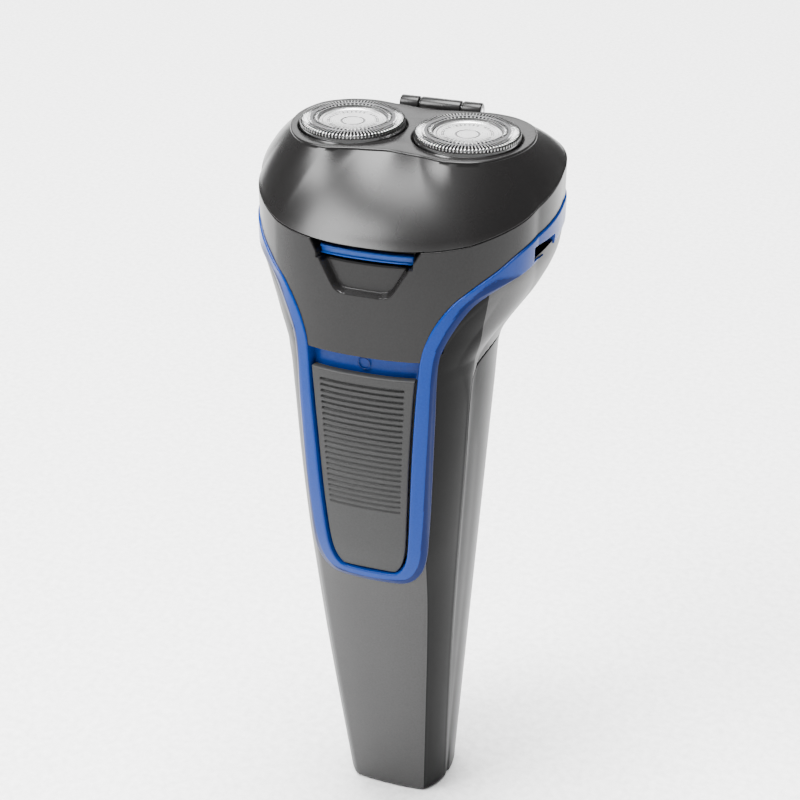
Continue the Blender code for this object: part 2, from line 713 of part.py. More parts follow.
# ------------------------------------------------------------------ shaving unit
GUARD_TOP = PLATE_Z + GUARD_PROUD
FLANGE_TOP = PLATE_Z - COVER_WALL - GAP
FLANGE_BASE = FLANGE_TOP - GUARD_FLANGE_HEIGHT
DISC_FLOOR = GUARD_TOP - DISC_RECESS - DISC_THICKNESS - GAP
CARRIER_TOP = GUARD_TOP - GUARD_WALL - GAP - BLADE_HEIGHT
CARRIER_BASE = CARRIER_TOP - CARRIER_THICKNESS
HUB_BASE = CARRIER_BASE - HUB_LENGTH
HINGE_Y = 21.4 * HEAD_SCALE
HINGE_Z = seam_height(HINGE_Y) + 0.5
FRAME_TOP = FLANGE_BASE - FRAME_BELOW_FLANGE
KNOB_Y = -9.0
SIDES = (("left", 1), ("right", -1))
# Top plate: (degrees from the front, radius) round a point a little behind the drive axis.
PLATE_CENTRE_Y = 1.0
PLATE_OUTLINE = [(0, 12.7), (24, 14.9), (41, 19.8), (54.5, 22.7), (69, 24.1), (85, 25.1), (97, 25.4),
                 (111, 25.1), (124, 23.2), (136, 20.2), (152, 15.6), (180, 12.4)]


def plate_outline(half):
    """Outline of the top plate, with a point in the direction of each point of a half outline."""
    points = []
    for index, p in enumerate(half):
        turn = degrees(atan2(p.x, -(p.y - PLATE_CENTRE_Y)))
        if index == 0:
            turn = 0.0
        radius = value_at(PLATE_OUTLINE, turn) * PLATE_SCALE
        points.append(Vector((radius * sin(radians(turn)), PLATE_CENTRE_Y - radius * cos(radians(turn)))))
    return whole_outline(points)


def cover_form(name, distance, drop):
    """Cone between the seam and the top plate; the inner one reaches further down by drop."""
    half = front_outline(NOMINAL_PLATE - 12.0)
    seam = inset(whole_outline(half), distance)
    plate = inset(plate_outline(half), distance)
    bulge = 0.0 if distance else -0.5
    middle = inset([(a + b) / 2.0 for a, b in zip(seam, plate)], bulge)
    top = PLATE_Z - (COVER_WALL if distance else 0.5)
    rings = [[(p.x, p.y, seam_height(p.y) + GAP - drop) for p in seam]]
    rings.append([(p.x, p.y, (seam_height(q.y) + GAP + top) / 2.0) for p, q in zip(middle, seam)])
    rings.append(level_ring(plate, top))
    if not distance:
        rings.append(level_ring(inset(plate, 0.5), PLATE_Z))
    return loft(name, rings)


def hinge_rod(name, radius, inner, outer):
    return rod(name, (HINGE_Y, HINGE_Z), radius, inner, outer, "X", steps=20)


def hinge_knuckles(panel):
    """The body's two knuckles, cut free round the cover's one in the middle."""
    minus(panel, hinge_rod("room", HINGE_BARREL_RADIUS + GAP, -HINGE_OUTER_HALF, HINGE_OUTER_HALF))
    for side in (1, -1):
        ends = sorted((side * (HINGE_INNER_HALF + GAP), side * HINGE_OUTER_HALF))
        plus(panel, hinge_rod("knuckle", HINGE_BARREL_RADIUS, *ends))
        plus(panel, block("foot", (ends[0], HINGE_Y - 2.6, HINGE_Z - 4.4),
                          (ends[1], HINGE_Y - 0.4, HINGE_Z - 1.0)))
    return minus(panel, hinge_rod("bore", HINGE_PIN_RADIUS + GAP, -FAR, FAR))


def make_head_cover():
    cover = cover_form("head_cover", 0.0, 0.0)
    minus(cover, cover_form("hollow", COVER_WALL, 2.0))
    for _, side in SIDES:
        centre = (side * SPINDLE_X, 0.0)
        minus(cover, rod("hole", centre, GUARD_HOLE, PLATE_Z - 4.0, PLATE_Z + 2.0, steps=36))
        minus(cover, rod("flange_room", centre, GUARD_RADIUS + GUARD_FLANGE + GAP,
                         FLANGE_BASE - GUARD_FLOAT - GAP, FLANGE_TOP + GAP, steps=36))
    minus(cover, hinge_rod("room", HINGE_BARREL_RADIUS + GAP, -HINGE_OUTER_HALF - GAP,
                           HINGE_OUTER_HALF + GAP))
    plus(cover, hinge_rod("knuckle", HINGE_BARREL_RADIUS, -HINGE_INNER_HALF, HINGE_INNER_HALF))
    ear = block("ear", (-HINGE_INNER_HALF, HINGE_Y - 3.0, HINGE_Z + 0.1),
                (HINGE_INNER_HALF, HINGE_Y - 0.6, HINGE_Z + 1.5))
    plus(cover, ear)
    minus(cover, hinge_rod("bore", HINGE_PIN_RADIUS + GAP, -FAR, FAR))
    post = rod("post", (0.0, KNOB_Y), 1.6, FRAME_TOP + GAP, PLATE_Z - 0.5 * COVER_WALL, steps=16)
    return plus(cover, post)


def make_guard(side_name, side):
    top, outer = GUARD_TOP, GUARD_RADIUS
    flange = outer + GUARD_FLANGE
    web = DISC_RADIUS + GAP + 0.45
    profile = [(flange, FLANGE_BASE), (flange, FLANGE_TOP), (outer, FLANGE_TOP), (outer, top - 0.7),
               (outer - 0.2, top - 0.2), (outer - 0.65, top), (DISC_RADIUS + GAP + 0.1, top),
               (DISC_RADIUS + GAP, DISC_FLOOR), (4.0, DISC_FLOOR), (4.0, DISC_FLOOR - GUARD_WALL),
               (web, DISC_FLOOR - GUARD_WALL), (web, top - GUARD_WALL),
               (outer - GUARD_WALL, top - GUARD_WALL), (outer - GUARD_WALL, FLANGE_BASE)]
    return turned("shaving_guard_" + side_name, profile, (side * SPINDLE_X, 0.0), steps=36)


def make_guard_disc(side_name, side):
    top = GUARD_TOP - DISC_RECESS
    profile = [(0.0, top - 0.4), (DISC_RADIUS * 0.6, top - 0.3), (DISC_RADIUS * 0.92, top),
               (DISC_RADIUS, top - 0.1), (DISC_RADIUS, top - DISC_THICKNESS),
               (0.0, top - DISC_THICKNESS - 0.2)]
    return turned("guard_disc_" + side_name, profile, (side * SPINDLE_X, 0.0), steps=36)


def crown(name, inner, outer, base, low, high, count, share, centre):
    """Ring with a row of square teeth standing on it."""
    bm = bmesh.new()
    columns = []
    for index in range(count):
        for turn in (index / count, (index + share) / count):
            angle = TAU * turn
            column = {}
            for key, radius in (("in", inner), ("out", outer)):
                x, y = centre[0] + radius * cos(angle), centre[1] + radius * sin(angle)
                for level_key, level in (("base", base), ("low", low), ("high", high)):
                    column[key, level_key] = bm.verts.new((x, y, level))
            columns.append(column)
    total = len(columns)
    for index, here in enumerate(columns):
        after = columns[(index + 1) % total]
        tooth = index % 2 == 0
        top = "high" if tooth else "low"
        bm.faces.new((here["in", "base"], here["out", "base"], after["out", "base"], after["in", "base"]))
        bm.faces.new((here["in", top], after["in", top], after["out", top], here["out", top]))
        for key in ("in", "out"):
            bm.faces.new((here[key, "base"], after[key, "base"], after[key, "low"], here[key, "low"]))
            if tooth:
                bm.faces.new((here[key, "low"], after[key, "low"], after[key, "high"], here[key, "high"]))
        bm.faces.new((here["in", "low"], here["out", "low"], here["out", "high"], here["in", "high"]))
    return new_solid(name, bm)


def make_cutter(side_name, side):
    centre = (side * SPINDLE_X, 0.0)
    outer = GUARD_RADIUS - GUARD_WALL - GAP
    cutter = crown("cutter_" + side_name, BLADE_INNER, outer, CARRIER_BASE, CARRIER_TOP,
                   CARRIER_TOP + BLADE_HEIGHT, BLADE_COUNT, BLADE_SHARE, centre)
    plus(cutter, rod("carrier", centre, (BLADE_INNER + outer) / 2.0, CARRIER_BASE + 0.1, CARRIER_TOP - 0.1))
    hub = rod("hub", centre, HUB_RADIUS, HUB_BASE, CARRIER_TOP)
    half_length, half_width = DOG_LENGTH / 2 + GAP, DOG_WIDTH / 2 + GAP
    socket = block("socket", (centre[0] - half_length, -half_width, HUB_BASE - 1.0),
                   (centre[0] + half_length, half_width, CARRIER_TOP - 0.4))
    return minus(plus(cutter, hub), socket)


def make_retaining_frame():
    frame = cover_form("retaining_frame", COVER_WALL + GAP, 4.0)
    common(frame, block("slab", (-FAR, -FAR, FRAME_TOP - FRAME_THICKNESS), (FAR, 10.5, FRAME_TOP)))
    for _, side in SIDES:
        minus(frame, rod("hole", (side * SPINDLE_X, 0.0), HUB_RADIUS + 0.8, FRAME_TOP - 3, FRAME_TOP + 1))
    return minus(frame, rod("stem_hole", (0.0, KNOB_Y), FOOT_RADIUS + GAP, FRAME_TOP - 3, FRAME_TOP + 1,
                            steps=16))


def make_retaining_knob():
    base = FRAME_TOP - FRAME_THICKNESS - GAP
    knob = turned("retaining_knob", [(0.0, base - 1.2), (KNOB_RADIUS, base - 1.2), (KNOB_RADIUS, base),
                                     (FOOT_RADIUS, base), (FOOT_RADIUS, FRAME_TOP), (0.0, FRAME_TOP)],
                  (0.0, KNOB_Y), steps=20)
    return minus(knob, block("coin_slot", (-KNOB_RADIUS, KNOB_Y - 0.4, base - 2.0),
                             (KNOB_RADIUS, KNOB_Y + 0.4, base - 0.7)))


def make_hinge_pin():
    return hinge_rod("hinge_pin", HINGE_PIN_RADIUS, -HINGE_OUTER_HALF, HINGE_OUTER_HALF)


# ------------------------------------------------------------------ drive
GEAR_PLATE_TOP = PLATE_Z - GEAR_PLATE_BELOW
GEAR_PLATE_BASE = GEAR_PLATE_TOP - GEAR_PLATE_THICKNESS
GEAR_TOP = GEAR_PLATE_BASE - GEAR_BELOW_PLATE
GEAR_BASE = GEAR_TOP - GEAR_THICKNESS
CHASSIS_TOP = GEAR_BASE - 0.6
CHASSIS_BASE = CHASSIS_TOP - CHASSIS_THICKNESS
MOTOR_TOP = CHASSIS_BASE - GAP
MOTOR_BASE = MOTOR_TOP - MOTOR_LENGTH
END_CAP_BASE = MOTOR_BASE - GAP - END_CAP_THICKNESS
MODULE = 2.0 * SPINDLE_X / (PINION_TEETH + GEAR_TEETH)
SPINDLE_TOP = HUB_BASE - GUARD_FLOAT - GAP
BOSS_TOP = GEAR_PLATE_TOP + 2.4
BUTTON_TOP = seam_height(FRONT_AT_SEAM) - BUTTON_BELOW_SEAM
BUTTON_BASE = BUTTON_TOP - BUTTON_HEIGHT


def gear_outline(teeth, centre, phase):
    """Straight-flanked teeth, thinner than half the pitch so that a pair always has backlash."""
    pitch = MODULE * teeth / 2.0
    points = []
    for tooth in range(teeth):
        middle = TAU * (tooth + phase) / teeth
        step = TAU / teeth
        for radius, turn in ((pitch - 1.2 * MODULE, -0.30), (pitch + 0.85 * MODULE, -0.11),
                             (pitch + 0.85 * MODULE, 0.11), (pitch - 1.2 * MODULE, 0.30)):
            angle = middle + turn * step
            points.append((centre[0] + radius * cos(angle), centre[1] + radius * sin(angle)))
    return points


def make_gear(side_name, side):
    centre = (side * SPINDLE_X, 0.0)
    gear = prism("driven_gear_" + side_name, gear_outline(GEAR_TEETH, centre, 0.5), GEAR_BASE, GEAR_TOP)
    return minus(gear, rod("bore", centre, SPINDLE_RADIUS + GAP, GEAR_BASE - 1, GEAR_TOP + 1))


def make_pinion():
    pinion = prism("motor_pinion", gear_outline(PINION_TEETH, (0.0, 0.0), 0.0), GEAR_BASE, GEAR_TOP)
    return minus(pinion, rod("bore", (0.0, 0.0), SHAFT_RADIUS + GAP, GEAR_BASE - 1, GEAR_TOP + 1, steps=16))


def make_spindle(side_name, side):
    centre = (side * SPINDLE_X, 0.0)
    profile = [(0.0, CHASSIS_BASE + 0.1), (FOOT_RADIUS, CHASSIS_BASE + 0.1), (FOOT_RADIUS, GEAR_BASE - 0.3),
               (SPINDLE_RADIUS, GEAR_BASE - 0.3), (SPINDLE_RADIUS, SPINDLE_TOP), (0.0, SPINDLE_TOP)]
    spindle = turned("drive_spindle_" + side_name, profile, centre, steps=20)
    half = DOG_LENGTH / 2.0
    tongue = block("tongue", (centre[0] - half, -DOG_WIDTH / 2, SPINDLE_TOP - 1.0),
                   (centre[0] + half, DOG_WIDTH / 2, CARRIER_TOP - 0.4 - GUARD_FLOAT - GAP))
    barrel = rod("round", centre, SPINDLE_RADIUS + 0.25, SPINDLE_TOP - 2.0, CARRIER_TOP, steps=24)
    return plus(spindle, common(tongue, barrel))


def make_float_spring(side_name, side):
    """Coil round the spindle that lifts the cutter and its guard."""
    low, high = BOSS_TOP + GAP + SPRING_WIRE, HUB_BASE - GAP - SPRING_WIRE
    steps = SPRING_TURNS * 10
    bm = bmesh.new()
    rings = []
    for step in range(steps + 1):
        turn = step / 10.0
        angle = TAU * turn
        height = low + (high - low) * step / steps
        ring = []
        for corner in range(4):
            tilt = TAU * corner / 4.0
            radius = SPRING_RADIUS + SPRING_WIRE * cos(tilt)
            ring.append(bm.verts.new((side * SPINDLE_X + radius * cos(angle), radius * sin(angle),
                                      height + SPRING_WIRE * sin(tilt))))
        rings.append(ring)
    for lower, upper in zip(rings, rings[1:]):
        for k in range(4):
            bm.faces.new((lower[k], lower[(k + 1) % 4], upper[(k + 1) % 4], upper[k]))
    bm.faces.new(rings[0])
    bm.faces.new(list(reversed(rings[-1])))
    return new_solid("float_spring_" + side_name, bm)


def inner_plate(name, low, high):
    """Plate that fills the body inside the trim frame, between two heights."""
    plate = front_form(name, TRIM_DEPTH + GAP)
    return common(plate, block("slab", (-FAR, -FAR, low), (FAR, FAR, high)))


def make_gear_plate():
    plate = inner_plate("gear_plate", GEAR_PLATE_BASE, GEAR_PLATE_TOP)
    button_room = block("button_room", (-BUTTON_HALF_WIDTH - 1.0, -FAR, GEAR_PLATE_BASE - 1.0),
                        (BUTTON_HALF_WIDTH + 1.0, BUTTON_BACK + BUTTON_TRAVEL + GAP, GEAR_PLATE_TOP + 1.0))
    minus(plate, button_room)
    for _, side in SIDES:
        centre = (side * SPINDLE_X, 0.0)
        plus(plate, rod("boss", centre, SPINDLE_RADIUS + 2.0, GEAR_PLATE_BASE + 0.2, BOSS_TOP, steps=20))
        minus(plate, rod("bore", centre, SPINDLE_RADIUS + GAP, GEAR_PLATE_BASE - 1, BOSS_TOP + 1, steps=20))
    for y in SCREW_Y:
        minus(plate, rod("screw_hole", (0.0, y), SCREW_RADIUS + GAP, GEAR_PLATE_BASE - 1,
                         GEAR_PLATE_TOP + 1, steps=14))
    return plate


def make_chassis():
    chassis = inner_plate("drive_chassis", CHASSIS_BASE, CHASSIS_TOP)
    for y in SCREW_Y:
        plus(chassis, rod("column", (0.0, y), COLUMN_RADIUS, CHASSIS_TOP - 0.4,
                          GEAR_PLATE_BASE - GAP, steps=16))
        minus(chassis, rod("screw_hole", (0.0, y), SCREW_RADIUS + GAP, CHASSIS_TOP - 0.2,
                           GEAR_PLATE_BASE + 1, steps=14))
    minus(chassis, rod("shaft_hole", (0.0, 0.0), SHAFT_RADIUS + 2.0, CHASSIS_BASE - 1, CHASSIS_TOP + 1))
    skirt = prism("skirt", can_outline(GAP + 1.1), MOTOR_TOP - 6.0, CHASSIS_BASE + 0.2)
    minus(skirt, prism("can_room", can_outline(GAP), MOTOR_TOP - 7.0, CHASSIS_TOP))
    plus(chassis, skirt)
    for _, side in SIDES:
        minus(chassis, rod("foot", (side * SPINDLE_X, 0.0), FOOT_RADIUS + GAP, CHASSIS_BASE - 1,
                           CHASSIS_TOP + 1, steps=16))
    return chassis


def can_outline(distance):
    """Round motor can with two flats, grown by a distance."""
    radius, flat = MOTOR_WIDTH / 2.0 + distance, MOTOR_DEPTH / 2.0 + distance
    corner = acos(flat / radius)
    points = []
    for centre in (0.0, pi):
        for step in range(11):
            angle = centre - (pi / 2.0 - corner) + step / 10.0 * (pi - 2.0 * corner)
            points.append((radius * cos(angle), radius * sin(angle)))
    return points


def make_motor_can():
    can = prism("motor_can", can_outline(0.0), MOTOR_BASE, MOTOR_TOP)
    minus(can, prism("inside", can_outline(-CAN_WALL), MOTOR_BASE - 1.0, MOTOR_TOP - CAN_WALL))
    return minus(can, rod("hole", (0.0, 0.0), SHAFT_RADIUS + GAP, MOTOR_TOP - 3, MOTOR_TOP + 1, steps=16))


def make_motor_end_cap():
    cap = prism("motor_end_cap", can_outline(0.0), END_CAP_BASE, MOTOR_BASE - GAP)
    minus(cap, rod("bearing", (0.0, 0.0), SHAFT_RADIUS + GAP, END_CAP_BASE + 0.5, MOTOR_BASE, steps=16))
    for _, side in SIDES:
        low = (side * TERMINAL_X - TERMINAL_HALF_WIDTH - GAP, -0.5, END_CAP_BASE - 1)
        high = (side * TERMINAL_X + TERMINAL_HALF_WIDTH + GAP, 0.5, MOTOR_BASE)
        minus(cap, block("slot", low, high))
    return cap


def make_motor_terminal(side_name, side):
    low = (side * TERMINAL_X - TERMINAL_HALF_WIDTH, -0.2, END_CAP_BASE - TERMINAL_LENGTH)
    high = (side * TERMINAL_X + TERMINAL_HALF_WIDTH, 0.2, MOTOR_BASE - GAP)
    return block("motor_terminal_" + side_name, low, high)


def make_motor_shaft():
    return rod("motor_shaft", (0.0, 0.0), SHAFT_RADIUS, END_CAP_BASE + 0.8, GEAR_TOP, steps=16)


def make_armature():
    core = rod("motor_armature", (0.0, 0.0), ARMATURE_RADIUS, MOTOR_BASE + ARMATURE_MARGIN,
               MOTOR_TOP - ARMATURE_MARGIN)
    for slot in range(3):
        angle = TAU * slot / 3.0
        bar = block("slot", (4.2, -0.9, MOTOR_BASE), (9.0, 0.9, MOTOR_TOP))
        bar.rotation_euler = (0.0, 0.0, angle)
        bpy.context.view_layer.update()
        minus(core, bar)
    return minus(core, rod("bore", (0.0, 0.0), SHAFT_RADIUS + GAP, MOTOR_BASE, MOTOR_TOP, steps=16))


def make_screw(name, y):
    head = GEAR_PLATE_TOP + GAP
    return turned(name, [(0.0, CHASSIS_TOP + 0.6), (SCREW_RADIUS, CHASSIS_TOP + 0.6), (SCREW_RADIUS, head),
                         (2.0, head), (2.0, head + 0.9), (1.4, head + 1.3), (0.0, head + 1.3)],
                  (0.0, y), steps=14)


# ------------------------------------------------------------------ release button
BUTTON_FACE = front_face(BUTTON_STATION) + BUTTON_SUNK
BUTTON_BACK = BUTTON_FACE + BUTTON_DEPTH


def make_release_button():
    """Bar across the finger recess, bowed like the front, with a plunger behind it."""
    half = BUTTON_HALF_WIDTH
    right = [Vector((half * k / 5.0, BUTTON_FACE + front_curve(half * k / 5.0))) for k in range(6)]
    back = BUTTON_FACE + front_curve(half) + 1.2
    outline = [Vector((-p.x, p.y)) for p in reversed(right[1:])] + right
    outline += [Vector((half, back)), Vector((-half, back))]
    bar = prism("release_button", outline, BUTTON_BASE, BUTTON_TOP)
    plunger = block("plunger", (-3.0, back - 0.4, BUTTON_BASE), (3.0, BUTTON_BACK, BUTTON_TOP))
    lip = block("lip", (-3.0, BUTTON_BACK - 1.0, BUTTON_BASE), (3.0, BUTTON_BACK, BUTTON_TOP + 1.2))
    return plus(bar, plunger, lip)


# ------------------------------------------------------------------ power and switch
SWITCH_Z = rise(SWITCH_HEIGHT)
SPINE_FRONT = -13.3
SPINE_BACK = SPINE_FRONT + SPINE_THICKNESS
BATTERY_Y = SPINE_BACK + GAP + BATTERY_RADIUS
BATTERY_TOP = BATTERY_BASE + BATTERY_LENGTH
BOARD_BACK = SPINE_FRONT - 1.6
BOARD_FRONT = BOARD_BACK - BOARD_THICKNESS
SWITCH_BACK = BOARD_FRONT - GAP
SWITCH_FRONT = SWITCH_BACK - SWITCH_DEPTH
SPINE_TOP = END_CAP_BASE - GAP
SPINE_BASE = BATTERY_BASE - CONTACT_THICKNESS - 2 * GAP - SHELF_THICKNESS
STANDOFF_X = 5.0
STANDOFF_HEIGHTS = (rise(BOARD_BASE) + 5.0, rise(BOARD_TOP) - 4.0)


def make_inner_frame():
    """Backbone that carries the battery behind it, the board in front and the motor on top."""
    half = SPINE_HALF_WIDTH
    frame = block("inner_frame", (-half, SPINE_FRONT, SPINE_BASE), (half, SPINE_BACK, SPINE_TOP))
    shelf_back = BATTERY_Y + BATTERY_RADIUS - 1.0
    shelf_low = BATTERY_TOP + BATTERY_NIB + CONTACT_THICKNESS + 2 * GAP
    for low, reach, width in ((SPINE_BASE, shelf_back, half), (shelf_low, shelf_back, half),
                              (SPINE_TOP - SHELF_THICKNESS, 6.0, half + 2.5)):
        shelf = block("shelf", (-width, SPINE_BACK - 0.4, low), (width, reach, low + SHELF_THICKNESS))
        plus(frame, shelf)
    for _, side in SIDES:
        low = (side * TERMINAL_X - 1.5, -1.2, SPINE_TOP - 3.0)
        minus(frame, block("terminal_room", low, (side * TERMINAL_X + 1.5, 1.2, SPINE_TOP + 1.0)))
    for height in STANDOFF_HEIGHTS:
        for _, side in SIDES:
            plus(frame, rod("standoff", (side * STANDOFF_X, height), 1.4, BOARD_BACK + GAP,
                            SPINE_FRONT + 0.3, "Y", steps=12))
    return frame


def make_battery():
    profile = [(0.0, BATTERY_BASE), (BATTERY_RADIUS - 0.4, BATTERY_BASE),
               (BATTERY_RADIUS, BATTERY_BASE + 0.4),
               (BATTERY_RADIUS, BATTERY_TOP - 0.6), (BATTERY_RADIUS - 0.6, BATTERY_TOP),
               (BATTERY_NIB_RADIUS, BATTERY_TOP), (BATTERY_NIB_RADIUS, BATTERY_TOP + BATTERY_NIB),
               (0.0, BATTERY_TOP + BATTERY_NIB)]
    return turned("battery_cell", profile, (0.0, BATTERY_Y), steps=28)


def make_contact(name, base):
    """Flat plate against a battery end, with a solder tab out to the side."""
    plate = rod(name, (0.0, BATTERY_Y), 4.6, base, base + CONTACT_THICKNESS, steps=20)
    tab = block("tab", (3.0, BATTERY_Y - 1.2, base),
                (SPINE_HALF_WIDTH - 0.2, BATTERY_Y + 1.2, base + CONTACT_THICKNESS))
    return plus(plate, tab)


def make_board():
    low = (-BOARD_HALF_WIDTH, BOARD_FRONT, rise(BOARD_BASE))
    return block("circuit_board", low, (BOARD_HALF_WIDTH, BOARD_BACK, rise(BOARD_TOP)))


def make_slide_switch():
    low = (-SWITCH_HALF_WIDTH, SWITCH_FRONT, SWITCH_Z - SWITCH_LENGTH / 2)
    body = block("slide_switch", low, (SWITCH_HALF_WIDTH, SWITCH_BACK, SWITCH_Z + SWITCH_LENGTH / 2))
    slot_low = (-1.5, SWITCH_FRONT - 1.0, SWITCH_Z - 1.2 - GAP)
    slot_high = (1.5, SWITCH_BACK - 1.5, SWITCH_Z + 1.2 + SLIDER_TRAVEL + GAP)
    return minus(body, block("slot", slot_low, slot_high))


def make_switch_knob():
    """Stem of the switch, carried in a pocket of the slider's boss."""
    low = (-1.2, SWITCH_FRONT - 2.4 + GAP, SWITCH_Z - 1.2)
    return block("switch_knob", low, (1.2, SWITCH_BACK - 1.8, SWITCH_Z + 1.2))


def make_charge_socket():
    low = (-SOCKET_HALF_WIDTH, SOCKET_FRONT, WALL + GAP)
    high = (SOCKET_HALF_WIDTH, SOCKET_FRONT + SOCKET_DEPTH, WALL + GAP + SOCKET_HEIGHT)
    socket = block("charge_socket", low, high)
    inner_low = (low[0] + SOCKET_WALL, low[1] + SOCKET_WALL, -1.0)
    inner_high = (high[0] - SOCKET_WALL, high[1] - SOCKET_WALL, high[2] - 2.0)
    minus(socket, block("inlet", inner_low, inner_high))
    for _, side in SIDES:
        centre = (side * SOCKET_PIN_SPACING / 2, SOCKET_FRONT + SOCKET_DEPTH / 2)
        minus(socket, rod("bore", centre, SOCKET_PIN_RADIUS + 0.1, high[2] - 3, high[2] + 1, steps=12))
    return socket


def make_socket_pin(side_name, side):
    centre = (side * SOCKET_PIN_SPACING / 2, SOCKET_FRONT + SOCKET_DEPTH / 2)
    return rod("socket_pin_" + side_name, centre, SOCKET_PIN_RADIUS, SOCKET_PIN_TIP,
               WALL + GAP + SOCKET_HEIGHT + 0.4, steps=12)


def make_charge_light():
    """Ring of the charge light, standing on the strip above the slider."""
    face = front_face(RING_HEIGHT) + STRIP_FLOOR - GAP
    outline = [(RING_RADIUS * cos(TAU * k / 24), rise(RING_HEIGHT) + RING_RADIUS * sin(TAU * k / 24))
               for k in range(24)]
    ring = prism("charge_light_ring", outline, face - 0.25, face, "Y")
    hole = rod("hole", (0.0, rise(RING_HEIGHT)), RING_RADIUS - 2 * RING_WIRE, face - 2, face + 2, "Y")
    return minus(ring, hole)


# ------------------------------------------------------------------ materials
MATERIALS = {                        # colour, roughness, metallic
    "gunmetal": ((0.115, 0.113, 0.112), 0.32, 0.0),
    "dark_gunmetal": ((0.075, 0.074, 0.074), 0.30, 0.0),
    "blue": ((0.016, 0.115, 0.50), 0.30, 0.0),
    "steel": ((0.62, 0.62, 0.63), 0.22, 1.0),
    "spring_steel": ((0.45, 0.45, 0.46), 0.30, 1.0),
    "black": ((0.02, 0.02, 0.022), 0.45, 0.0),
    "white_plastic": ((0.70, 0.69, 0.66), 0.45, 0.0),
    "brass": ((0.72, 0.52, 0.24), 0.30, 1.0),
    "board_green": ((0.02, 0.16, 0.07), 0.40, 0.0),
    "cell_green": ((0.04, 0.30, 0.16), 0.35, 0.0),
    "frosted": ((0.10, 0.20, 0.55), 0.25, 0.0),
}


def material(name):
    made = bpy.data.materials.get(name)
    if made is None:
        colour, roughness, metallic = MATERIALS[name]
        made = bpy.data.materials.new(name)
        made.use_nodes = True
        shader = made.node_tree.nodes["Principled BSDF"]
        shader.inputs["Base Color"].default_value = (*colour, 1.0)
        shader.inputs["Roughness"].default_value = roughness
        shader.inputs["Metallic"].default_value = metallic
    return made


def finish(solid, material_name, pivot=(0.0, 0.0, 0.0), sharp=32.0):
    """Give a piece its material, smooth shading and an origin on its joint's axis."""
    solid.data.materials.clear()
    solid.data.materials.append(material(material_name))
    solid.data.shade_smooth()
    solid.data.set_sharp_from_angle(angle=radians(sharp))
    place = Vector(pivot) * MM
    solid.data.transform(Matrix.Translation(-place))
    solid.location = place
    solid.data.name = solid.name
    return solid


# ------------------------------------------------------------------ the shaver
def build_body():
    finish(make_main_housing(), "dark_gunmetal")
    finish(make_rear_cover(), "gunmetal")
    finish(make_trim_frame(), "blue")
    finish(make_front_panel(), "gunmetal")
    finish(make_power_slider(), "gunmetal", (0.0, front_face(SWITCH_HEIGHT), SWITCH_Z))
    finish(make_release_button(), "blue", (0.0, BUTTON_FACE, BUTTON_BASE))
    finish(make_charge_light(), "frosted")


def build_head():
    hinge = (0.0, HINGE_Y, HINGE_Z)
    finish(make_head_cover(), "gunmetal", hinge)
    finish(make_hinge_pin(), "steel", hinge)
    finish(make_retaining_frame(), "white_plastic", hinge)
    finish(make_retaining_knob(), "black", (0.0, KNOB_Y, FRAME_TOP))
    for name, side in SIDES:
        centre = (side * SPINDLE_X, 0.0, GUARD_TOP)
        finish(make_guard(name, side), "steel", centre)
        finish(make_guard_disc(name, side), "steel", centre)
        finish(make_cutter(name, side), "steel", centre)


def build_drive():
    finish(make_gear_plate(), "black")
    finish(make_chassis(), "black")
    for name, side in SIDES:
        centre = (side * SPINDLE_X, 0.0, GEAR_BASE)
        finish(make_gear(name, side), "white_plastic", centre)
        finish(make_spindle(name, side), "white_plastic", centre)
        finish(make_float_spring(name, side), "spring_steel", centre)
        finish(make_motor_terminal(name, side), "brass")
    finish(make_motor_can(), "steel")
    finish(make_motor_end_cap(), "white_plastic")
    finish(make_motor_shaft(), "steel")
    finish(make_armature(), "spring_steel")
    finish(make_pinion(), "brass")
    for name, y in zip(("front", "rear"), SCREW_Y):
        finish(make_screw("chassis_screw_" + name, y), "steel")


def build_power():
    finish(make_inner_frame(), "black")
    finish(make_battery(), "cell_green")
    finish(make_contact("battery_contact_lower", BATTERY_BASE - GAP - CONTACT_THICKNESS), "brass")
    finish(make_contact("battery_contact_upper", BATTERY_TOP + BATTERY_NIB + GAP), "brass")
    finish(make_board(), "board_green")
    finish(make_slide_switch(), "black")
    finish(make_switch_knob(), "white_plastic")
    finish(make_charge_socket(), "black")
    for name, side in SIDES:
        finish(make_socket_pin(name, side), "brass")


build_body()
build_head()
build_drive()
build_power()
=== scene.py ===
"""Looks of the two-head rotary shaver: fine shells, slotted guards, ribbed slider and their materials.

Lengths are in millimetres and become metres in make_mesh(); lights and materials are in metres.
Angles are degrees from the front, measured round the upright axis x = 0, y = AXIS_Y, and for the
cone round x = 0, y = PLATE_CENTRE_Y.  The shells follow the outlines of the CAD model.
"""
import json
from math import cos, pi, radians, sin

